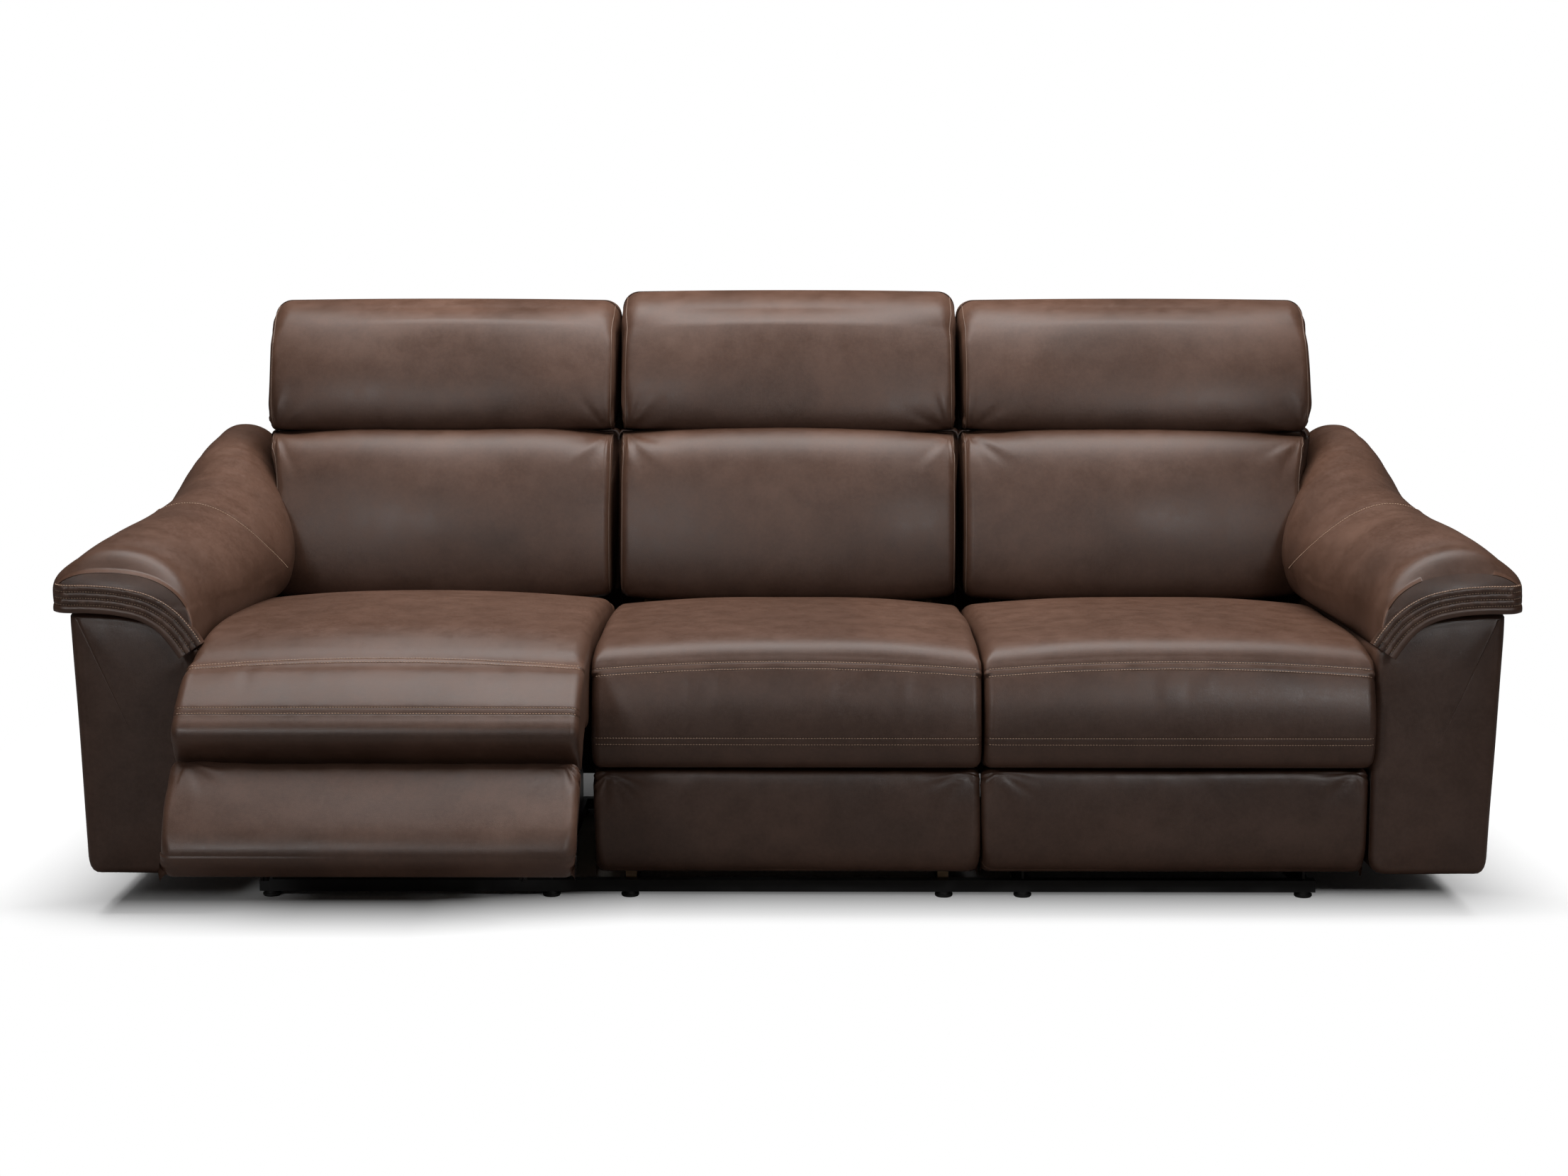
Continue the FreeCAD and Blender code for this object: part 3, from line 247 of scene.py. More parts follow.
def smooth_noise(u: Array, v: Array, seed: int) -> Array:
    """Smooth noise from -1 to 1 over two parameters.

    A seeded square of random values is blended with a smooth step between its corners.

    Args:
        u: First parameter, one unit for each cell.
        v: Second parameter, one unit for each cell.
        seed: Seed of the random values.

    Returns:
        Noise of the same shape as u and v together.
    """
    lattice = np.random.default_rng(seed).uniform(-1, 1, (NOISE_CELLS, NOISE_CELLS))
    u, v = np.broadcast_arrays(u, v)
    iu, iv = np.floor(u).astype(int), np.floor(v).astype(int)
    fu, fv = smooth(u - iu), smooth(v - iv)
    corner = [lattice[(iu + a) % NOISE_CELLS, (iv + b) % NOISE_CELLS]
              for a in (0, 1) for b in (0, 1)]
    first = corner[0] * (1 - fv) + corner[1] * fv
    second = corner[2] * (1 - fv) + corner[3] * fv
    return first * (1 - fu) + second * fu


def ring_faces(rings: int, sides: int) -> tuple[Array, Array]:
    """Faces of a tube of rings of points: quads between rings, and its two ends.

    Args:
        rings: Number of rings.
        sides: Points in each ring.

    Returns:
        Point numbers of the quads and of the two end faces.
    """
    index = np.arange(rings * sides).reshape(rings, sides)
    ahead = np.roll(index, -1, axis=1)
    quads = np.stack((index[:-1], ahead[:-1], ahead[1:], index[1:]), axis=-1)
    return quads.reshape(-1, 4), np.stack((index[0][::-1], index[-1]))


def new_object(name: str, points: Array, faces: list[list[int]]) -> bpy.types.Object:
    """Make a smooth-shaded mesh object at the origin.

    Args:
        name: Name of the piece.
        points: Corners in metres, in the frame's axes.
        faces: Corner numbers of each face.

    Returns:
        The new object, linked to the scene.
    """
    mesh = bpy.data.meshes.new(name)
    mesh.from_pydata(points.reshape(-1, 3).tolist(), [], faces)
    mesh.validate()
    mesh.polygons.foreach_set("use_smooth", np.ones(len(mesh.polygons), bool))
    piece = bpy.data.objects.new(name, mesh)
    bpy.context.scene.collection.objects.link(piece)
    return piece


@dataclass
class Grid:
    """A closed pad as rows of points: one row for each place along the carried outline."""

    points: Array

    def turn(self) -> float:
        """Sign that makes the normals point outwards, from the enclosed volume.

        Returns:
            1 or -1.
        """
        p = self.points - self.points.reshape(-1, 3).mean(axis=0)
        ahead = np.roll(p, -1, axis=1)
        a, b, c, d = p[:-1], ahead[:-1], ahead[1:], p[1:]
        volume = np.sum((np.cross(d, c) + np.cross(c, b)) * a)
        return 1.0 if volume > 0 else -1.0

    def normals(self) -> Array:
        """Outward unit normals, from the cross product of the two directions of the grid.

        Returns:
            One normal for each point.
        """
        around = np.roll(self.points, -1, axis=1) - np.roll(self.points, 1, axis=1)
        normal = np.cross(np.gradient(self.points, axis=0), around)
        length = np.linalg.norm(normal, axis=2, keepdims=True)
        return normal / np.maximum(length, 1e-12) * self.turn()

    def push(self, amount: Array) -> None:
        """Move every point along its normal by its own amount, in millimetres."""
        self.points = self.points + self.normals() * (amount * MM)[..., None]

    def mesh(self, name: str) -> bpy.types.Object:
        """Make the Blender object, smooth shaded and closed, with its normals outwards.

        Args:
            name: Name of the piece.

        Returns:
            The new object, linked to the scene.
        """
        quads, ends = ring_faces(*self.points.shape[:2])
        if self.turn() > 0:
            quads, ends = quads[:, ::-1], ends[:, ::-1]
        return new_object(name, self.points, quads.tolist() + ends.tolist())

    def row(self, column: int, lift: float = 0.0003, trim: int = 6) -> tuple[Array, Array]:
        """Points a little above one column of the grid, without its ends, and normals."""
        normals = self.normals()[trim:-trim, column]
        return self.points[trim:-trim, column] + normals * lift, normals


def tube(path: Array, up: Array, radius: float, sides: int = 8) -> Grid:
    """Carry a circle along a path.

    Args:
        path: Points of the path.
        up: A direction across the path at each point.
        radius: The circle's radius.
        sides: Number of points round it.

    Returns:
        The tube as a grid.
    """
    along = unit_length(np.gradient(path, axis=0))
    across = unit_length(np.cross(along, up))
    rise = np.cross(across, along)
    angle = np.linspace(0, 2 * np.pi, sides, endpoint=False)[:, None]
    ring = across[:, None] * np.cos(angle) + rise[:, None] * np.sin(angle)
    return Grid(path[:, None] + radius * ring)


@dataclass
class Outline:
    """A side outline, its marked points and the width that it is carried across."""

    corners: tuple[Pair, ...]
    count: int
    marks: dict[str, Pair]
    half: Pair = (HALF_WIDTH, HALF_WIDTH)
    stations: int = 120

    def loop(self) -> Array:
        """The spaced outline, with points closer together at the marks."""
        corners = rounded_loop(np.array(self.corners))
        return spaced_loop(corners, self.count, tuple(self.marks.values()))

    def places(self, edge: float) -> Array:
        """Places across the width, closer together in the rounded edges at its ends.

        In an edge they follow the cosine of equal steps of a quarter turn.

        Args:
            edge: Width of each rounded edge.

        Returns:
            Places from minus to plus half the width.
        """
        half = sum(self.half) / 2
        rim = max(6, self.stations // 8)
        angle = np.linspace(0, np.pi / 2, rim, endpoint=False)
        left = -half + edge * (1 - np.cos(angle))
        inner = np.linspace(-half + edge, half - edge, self.stations - 2 * rim)
        return np.concatenate((left, inner, -left[::-1]))

    def carry(self, loop: Array, edge: Array, fall: Array | float) -> tuple[Array, Array]:
        """Carry the outline across its width, drawing it in at both ends.

        At a place within the edge of either end the outline moves in along its own
        normals by edge times one less the circle of the place's share of the edge. It
        also moves down by fall times the square of the place's share of the half width.

        Args:
            loop: The spaced outline.
            edge: Radius of the rounded edge at each outline point.
            fall: How far each outline point falls at the ends.

        Returns:
            Places across the unit, and the outline's points at each.
        """
        left, right = self.half
        half = (right + left) / 2
        across = self.places(float(edge.max()))[:, None]
        share = np.clip((np.abs(across) - (half - edge)) / np.maximum(edge, 1e-6), 0, 1)
        draw = edge * (1 - np.sqrt(np.clip(1 - share ** 2, 0, 1)))
        plane = loop - loop_normals(loop) * draw[..., None]
        plane[..., 1] -= fall * (across / half) ** 2
        return np.broadcast_to(across + (right - left) / 2, draw.shape), plane


# Shader groups and finishes


@dataclass(frozen=True)
class Nodes:
    """Short ways to add shader nodes to one tree."""

    tree: bpy.types.NodeTree

    def feed(self, target: Socket, value: object) -> None:
        """Link a socket to an input, or set the input to a value.

        Args:
            target: The input.
            value: A socket, number, vector or colour.
        """
        if isinstance(value, Socket):
            self.tree.links.new(value, target)
        else:
            target.default_value = value

    def add(self, kind: str, output: int | str, inputs: dict[int | str, object],
            **settings: object) -> Socket:
        """Add a node, fill its inputs and give back one of its outputs.

        Args:
            kind: Type of the node, after ShaderNode.
            output: Name or number of the output.
            inputs: A value or a socket for each input.
            settings: The node's own settings.

        Returns:
            The output.
        """
        node = self.tree.nodes.new("ShaderNode" + kind)
        for label, setting in settings.items():
            setattr(node, label, setting)
        for label, value in inputs.items():
            self.feed(node.inputs[label], value)
        return node.outputs[output]

    def noise(self, place: Socket, scale: float, detail: float, roughness: float) -> Socket:
        """Factor of a noise texture of that many cells for each metre."""
        return self.add("TexNoise", "Fac", {"Vector": place, "Scale": scale,
                                            "Detail": detail, "Roughness": roughness})

    def ranged(self, value: Socket, low: float, high: float, to_low: float = 0.0,
               to_high: float = 1.0) -> Socket:
        """Value mapped from low and high to to_low and to_high, and held between them."""
        return self.add("MapRange", "Result", {"Value": value, "From Min": low,
                                               "From Max": high, "To Min": to_low,
                                               "To Max": to_high})

    def maths(self, operation: str, first: object, second: object) -> Socket:
        """Result of a Math node for two values or sockets."""
        return self.add("Math", 0, {0: first, 1: second}, operation=operation)

    def mixed(self, factor: object, first: object, second: object) -> Socket:
        """Colour between two, where the factor is the share of the second."""
        return self.add("Mix", 2, {0: factor, 6: first, 7: second}, data_type="RGBA")

    def weighted(self, *terms: tuple[Socket, float]) -> Socket:
        """Sum of sockets, each times its weight."""
        parts = [self.maths("MULTIPLY", value, weight) for value, weight in terms]
        return reduce(lambda total, part: self.maths("ADD", total, part), parts)


GROUP_COLOURS = {"hide": ("Dark", "Light", "Rubbed"), "speckle": ("Base", "Dust")}
GROUP_NUMBER = {"hide": "Tone", "speckle": "Amount"}
# Colour of the painted shade laid into folds, grooves and creases
PAINTED_FOLD_SHADE = (0.006, 0.0035, 0.0025, 1)


def new_group(name: str) -> tuple[Nodes, object, object]:
    """Make an empty shader group with its named inputs and outputs.

    Its inputs are a place, its colours and a number. Its outputs are a colour, a share
    from glossy to dull and the height of the relief.

    Args:
        name: Name of the group.

    Returns:
        Its nodes, its inputs' sockets and its outputs' sockets.
    """
    group = bpy.data.node_groups.new(name, "ShaderNodeTree")
    ways = {"INPUT": {"Vector": "Vector", **dict.fromkeys(GROUP_COLOURS[name], "Color"),
                      GROUP_NUMBER[name]: "Float"},
            "OUTPUT": {"Color": "Color", "Gloss": "Float", "Height": "Float"}}
    for way, sockets in ways.items():
        for label, kind in sockets.items():
            group.interface.new_socket(label, in_out=way, socket_type="NodeSocket" + kind)
    source, target = (group.nodes.new("NodeGroup" + end) for end in ("Input", "Output"))
    return Nodes(group), source.outputs, target.inputs


def hide_group() -> bpy.types.NodeTree:
    """Group for a hide: mottled colour, a mask of rubbed places and the grain's height.

    Three sizes of noise choose between dark and light. A tone over 0 adds the rubbed
    colour in patches, and one below 0 adds painted shade to folds, grooves and
    creases. The grain is cells with fine creases between them over a crumpled noise.

    Returns:
        The node group.
    """
    nodes, source, target = new_group("hide")
    place, tone = source["Vector"], source["Tone"]
    broad = nodes.ranged(nodes.noise(place, 5.0, 4.0, 0.6), 0.34, 0.66)
    cloudy = nodes.ranged(nodes.noise(place, 24.0, 5.0, 0.62), 0.36, 0.64)
    fleck = nodes.ranged(nodes.noise(place, 160.0, 4.0, 0.7), 0.4, 0.62)
    amount = nodes.weighted((nodes.ranged(broad, 0.0, 1.0, 0.14, 0.38), 1.0),
                            (cloudy, 0.26), (fleck, 0.2))
    colour = nodes.mixed(amount, source["Dark"], source["Light"])
    patchy = nodes.maths("MULTIPLY", nodes.ranged(tone, 0.1, 1.0),
                         nodes.ranged(cloudy, 0.0, 1.0, 0.45, 1.0))
    colour = nodes.mixed(patchy, colour, source["Rubbed"])
    # A tone below 0 mixes in painted shade, for folds, grooves and creases
    colour = nodes.mixed(nodes.ranged(tone, -1.0, 0.0, 0.75, 0.0), colour, PAINTED_FOLD_SHADE)
    crease = nodes.add("TexVoronoi", "Distance", {"Vector": place, "Scale": 620.0},
                       feature="DISTANCE_TO_EDGE")
    height = nodes.weighted((nodes.ranged(crease, 0.0, 0.12), 0.35),
                            (nodes.noise(place, 230.0, 3.0, 0.6), 0.65))
    nodes.feed(target["Color"], colour)
    nodes.feed(target["Gloss"], nodes.weighted((cloudy, 0.6), (fleck, 0.4)))
    nodes.feed(target["Height"], height)
    return nodes.tree


def speckle_group() -> bpy.types.NodeTree:
    """Group for coated, moulded and cut materials: two colours, wear and a fine height.

    Returns:
        The node group.
    """
    nodes, source, target = new_group("speckle")
    place = source["Vector"]
    cloudy = nodes.ranged(nodes.noise(place, 14.0, 4.0, 0.6), 0.38, 0.68)
    share = nodes.maths("MULTIPLY", cloudy, source["Amount"])
    nodes.feed(target["Color"], nodes.mixed(share, source["Base"], source["Dust"]))
    nodes.feed(target["Gloss"], cloudy)
    nodes.feed(target["Height"], nodes.noise(place, 900.0, 2.0, 0.6))
    return nodes.tree


@dataclass(frozen=True)
class Finish:
    """A finish: its group's colours, its range of roughness and its relief in metres."""

    name: str
    colours: tuple[Triple, ...]
    roughness: Pair
    relief: float
    group: str = "speckle"
    metallic: float = 0.0
    stretch: Triple = (1.0, 1.0, 1.0)
    amount: float = 0.3

    def build(self, groups: dict[str, bpy.types.NodeTree]) -> bpy.types.Material:
        """Make the material.

        Args:
            groups: The shared shader groups by name.

        Returns:
            The new material.
        """
        material = bpy.data.materials.new(self.name)
        material.use_nodes = True
        nodes = Nodes(material.node_tree)
        pattern = nodes.tree.nodes.new("ShaderNodeGroup")
        pattern.node_tree = groups[self.group]
        place = nodes.add("Mapping", "Vector", {"Vector": nodes.add("TexCoord", "Object", {}),
                                                "Scale": self.stretch})
        number = self.amount
        if self.group == "hide":
            number = nodes.add("Attribute", "Fac", {}, attribute_name="tone")
        given = {"Vector": place, GROUP_NUMBER[self.group]: number}
        for label, colour in zip(GROUP_COLOURS[self.group], self.colours):
            given[label] = (*colour, 1.0)
        for label, value in given.items():
            nodes.feed(pattern.inputs[label], value)
        look = {"Base Color": pattern.outputs["Color"], "Metallic": self.metallic,
                "Roughness": nodes.ranged(pattern.outputs["Gloss"], 0.0, 1.0,
                                          *self.roughness),
                "Normal": nodes.add("Bump", "Normal", {"Height": pattern.outputs["Height"],
                                                       "Distance": self.relief,
                                                       "Strength": 1.0})}
        for label, value in look.items():
            nodes.feed(nodes.tree.nodes["Principled BSDF"].inputs[label], value)
        return material


FINISHES = {
    "hide": Finish("brown_hide", ((0.0365, 0.0168, 0.0096), (0.081, 0.0415, 0.0275),
                                  (0.125, 0.071, 0.049)), (0.34, 0.46), 0.00015, "hide"),
    "thread": Finish("tan_thread", ((0.27, 0.175, 0.12), (0.4, 0.28, 0.2)), (0.6, 0.8),
                     0.0001),
    "piping": Finish("rubbed_piping", ((0.07, 0.04, 0.027), (0.13, 0.083, 0.06)),
                     (0.4, 0.55), 0.0002, amount=0.8),
    "steel": Finish("black_coat", ((0.009, 0.009, 0.0092), (0.028, 0.027, 0.026)),
                    (0.38, 0.55), 0.00006),
    "rod": Finish("ground_steel", ((0.42, 0.42, 0.42), (0.3, 0.29, 0.28)), (0.22, 0.4),
                  0.00003, metallic=1.0, stretch=(8.0, 1.0, 8.0)),
    "housing": Finish("moulded_housing", ((0.014, 0.014, 0.015), (0.04, 0.038, 0.036)),
                      (0.5, 0.7), 0.00012),
    "wood": Finish("frame_wood", ((0.36, 0.235, 0.125), (0.5, 0.36, 0.21)), (0.55, 0.75),
                   0.0002, stretch=(0.6, 6.0, 12.0), amount=0.9),
    "cloth": Finish("black_lining", ((0.011, 0.011, 0.011), (0.03, 0.03, 0.03)),
                    (0.8, 0.95), 0.0003),
    "plastic": Finish("dark_plastic", ((0.016, 0.015, 0.0145), (0.035, 0.033, 0.031)),
                      (0.4, 0.55), 0.00006),
    "button": Finish("smooth_button", ((0.035, 0.033, 0.032), (0.07, 0.066, 0.062)),
                     (0.22, 0.35), 0.00003),
}
SLOT_FINISHES = {
    "seat_leather": "hide", "cover_leather": "hide", "frame_wood": "wood",
    "frame_steel": "steel", "link_steel": "steel", "drive_rod": "rod",
    "drive_housing": "housing", "foot_plastic": "plastic", "lining_cloth": "cloth",
    "switch_plastic": "plastic", "button_plastic": "button",
}


# Where the frame puts each unit


@dataclass(frozen=True)
class UnitPlace:
    """Where a seat unit stands and how far it is opened, in metres and radians."""

    unit: Unit
    centre: float
    face: float
    seam: Pair
    opening: float
    step: Pair

    @property
    def reclines(self) -> bool:
        """Whether this unit has a footrest that opens."""
        return self.unit is not Unit.CENTRE

    def body(self, part: str) -> str:
        """Body that the seat, the footrest or the back of this unit rides on."""
        return f"{self.unit.value}_{part}" if self.reclines else "root"

    def grid(self, across: Array, plane: Array) -> Grid:
        """Grid in metres from places across the unit and outline points in millimetres."""
        x, y = self.centre + across * MM, self.face + plane[..., 0] * MM
        return Grid(np.stack(np.broadcast_arrays(x, y, plane[..., 1] * MM), axis=-1))

    def dividing(self, share: float) -> Array:
        """Direction across the plane that divides seat from flap, towards the flap.

        Args:
            share: 0 for the closed unit, 1 for the unit at rest.

        Returns:
            Unit vector in the side plane.
        """
        angle = math.radians(225.0) - self.opening * share / 2
        return np.array((math.cos(angle), math.sin(angle)))

    def folded(self, points: Array, half_zone: float = FOLD_HALF) -> Array:
        """Fold what lies before the seam up about it, then travel with the seat.

        A point turns by the opening times a smooth step of its distance from the plane
        that divides seat from flap.

        Args:
            points: Points of the closed unit.
            half_zone: Half the width of the stretch that bends.

        Returns:
            The points as the unit stands at rest.
        """
        away = points[..., 1:] - np.array(self.seam)
        share = np.clip((away @ self.dividing(0.0)) / (2 * half_zone) + 0.5, 0, 1)
        angle = self.opening * smooth(share)
        y = self.seam[0] + away[..., 0] * np.cos(angle) + away[..., 1] * np.sin(angle)
        z = self.seam[1] - away[..., 0] * np.sin(angle) + away[..., 1] * np.cos(angle)
        return np.stack((points[..., 0], y + self.step[0], z + self.step[1]), axis=-1)

    def blend_points(self) -> tuple[Triple, Triple]:
        """Start and end of the stretch of leather that bends, as the unit stands at rest.

        Returns:
            The two points.
        """
        middle = np.array(self.seam) + np.array(self.step)
        reach = self.dividing(1.0) * FOLD_HALF
        return (self.centre, *(middle - reach)), (self.centre, *(middle + reach))

    def beside_arm(self, across: Array, height: Array) -> Array:
        """Draw the outer side of an end back in below its wing, where the arm stands.

        Args:
            across: Places across the unit.
            height: Height of each outline point.

        Returns:
            The places, brought in by a smooth step of height.
        """
        if not self.reclines:
            return across
        outer = across * (-1.0 if self.unit is Unit.LEFT else 1.0) > 0
        narrow = HALF_WIDTH / (HALF_WIDTH + WING)
        width = narrow + (1 - narrow) * smooth(ramp(height, *WING_FOOT))
        return np.where(outer, across * width, across)


def read_places(frame: dict) -> dict[Unit, UnitPlace]:
    """Work out each unit's place from the frame's joints and nodes.


    Returns:
        The place of each unit.
    """
    joints = {joint["name"]: joint for joint in frame["joints"]}
    _, *seam = joints["right_footrest_fold"]["pos_m"]
    places = {}
    for unit in Unit:
        low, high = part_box(f"{unit.value}_seat_deck")
        opening, step = 0.0, (0.0, 0.0)
        if unit is not Unit.CENTRE:
            joint = joints[f"{unit.value}_footrest_fold"]
            opening = -math.radians(joint["range_deg"][0])
            step = (joint["pos_m"][1] - seam[0], joint["pos_m"][2] - seam[1])
        places[unit] = UnitPlace(unit, (low.x + high.x) / 2,
                                 seam[0] + SEAM_BEHIND_FACE * MM, tuple(seam), opening, step)
    return places


# Stitches, and what every sewn part shares


@dataclass(frozen=True)
class Stitch:
    """A kind of stitch: its pitch, length and radius in metres."""

    pitch: float = 0.0046
    length: float = 0.0034
    radius: float = 0.0008
    sides: int = 5

    def sew(self, name: str, rows: list[tuple[Array, Array]]) -> bpy.types.Object:
        """Lay a stitch at equal steps along each row.

        A stitch is a small spindle: four rings whose radius swells from the ends to the
        middle. All stitches are one array: centres plus spindle points turned to the
        row's direction and the surface's normal.

        Args:
            name: Name of the piece.
            rows: For each row, its points and the surface's normals there.

        Returns:
            The stitches as one object.
        """
        laid = []
        for points, normals in rows:
            run = run_lengths(points)
            steps = np.arange(self.pitch, run[-1] - self.pitch / 2, self.pitch)
            centre = read_along(steps, run, points)
            ahead = read_along(steps + self.pitch / 2, run, points)
            laid.append((centre, ahead - centre, read_along(steps, run, normals)))
        centre, way, out = (np.vstack(part) for part in zip(*laid))
        way = unit_length(way)
        side = unit_length(np.cross(out, way))
        out = np.cross(way, side)
        along = np.array((-0.5, -0.3, 0.3, 0.5)) * self.length
        swell = np.array((0.25, 1.0, 1.0, 0.25))[:, None] * self.radius
        angle = np.linspace(0, 2 * np.pi, self.sides, endpoint=False)
        shape = (centre[:, None, None] + way[:, None, None] * along[:, None, None]
                 + side[:, None, None] * (swell * np.cos(angle))[..., None]
                 + out[:, None, None] * (swell * np.sin(angle))[..., None])
        first = np.arange(len(centre))[:, None, None] * len(along) * self.sides
        quads, ends = ring_faces(len(along), self.sides)
        faces = (quads + first).reshape(-1, 4).tolist()
        faces += (ends + first).reshape(-1, self.sides).tolist()
        return new_object(name, shape, faces)


SEAM_STITCH = Stitch()
BAND_STITCH = Stitch(0.0044, 0.0032, 0.0009)


@dataclass
class Workshop:
    """Materials, and the names of the pieces made so far."""

    materials: dict[str, bpy.types.Material]
    made: list[str] = field(default_factory=list)

    def dress(self, piece: bpy.types.Object, finish: str, slot: str) -> None:
        """Give a piece its material and report it.

        Args:
            piece: The piece.
            finish: Name of the finish.
            slot: The record's material slot; not used.
        """
        piece.data.materials.append(self.materials[finish])
        self.made.append(piece.name)
        LOG.info("made %s with %d points", piece.name, len(piece.data.vertices))


@dataclass
class Part:
    """A sewn part of the sofa, made in the workshop from its own seed."""

    shop: Workshop
    seed: int

    def noise(self, u: Array, v: Array, draw: int = 0) -> Array:
        """Smooth noise from one of this part's own draws."""
        return smooth_noise(u, v, self.seed + draw)

    def skin(self, grid: Grid, name: str, tone: Array,
             slot: str = "seat_leather") -> bpy.types.Object:
        """Make a leather piece of a grid.

        Args:
            grid: The finished form.
            name: Name of the piece.
            tone: How rubbed each point is above 0, up to 1 on a ridge, and below 0 how
                much painted shade it gets, down to -1 in a fold.
            slot: The record's material slot.

        Returns:
            The piece.
        """
        piece = grid.mesh(name)
        values = piece.data.attributes.new("tone", "FLOAT", "POINT")
        values.data.foreach_set("value", tone.reshape(-1).astype(np.float32))
        self.shop.dress(piece, "hide", slot)
        return piece

    def pulls(self, dx: Array, dz: Array, rays: float, reach: Pair, clear: float,
              side: int) -> Array:
        """Folds that run out from a corner where the leather is pulled.

        They are noise of the angle about the corner, times a bell curve of the distance.

        Args:
            dx: Distance across from the corner.
            dz: Distance up from the corner.
            rays: Folds for each radian.
            reach: Distance where they are deepest, and the bell's width.
            clear: Distance within which there are none.
            side: Which end it is, to give each its own folds.

        Returns:
            Height of the folds, from -1 to 1.
        """
        radius = np.hypot(dx, dz)
        ray = self.noise(np.arctan2(dz, dx) * rays, 0 * radius + side, 2)
        return ray * bell(radius - reach[0], reach[1]) * (radius > clear)


# Seats


SEAT_MARKS = {"seam": (-24.0, 415.0), "upper_row": (-21.0, 420.5),
              "lower_row": (-27.0, 410.0), "groove_high": (-50.0, 302.0),
              "groove_low": (-49.0, 291.0)}
SEAT_ROWS = ("upper_row", "lower_row", "groove_high", "groove_low")
# Corners of the closed seat's front, and where they lie on the seat that folds open
OPEN_NOSE = {
    (200, 462): (200, 461), (100, 461): (100, 455), (46, 457): (46, 445), (8, 449): (8, 431),
    (-12, 436): (-12, 422.5), (-25, 417): (-25, 413.5), (-37, 390): (-34, 388),
    (-46, 360): (-42, 358), (-50, 330): (-47, 330), (-45, 272): (-49.5, 273),
    (-38, 258): (-46, 259), (-27, 249): (-33, 249)}


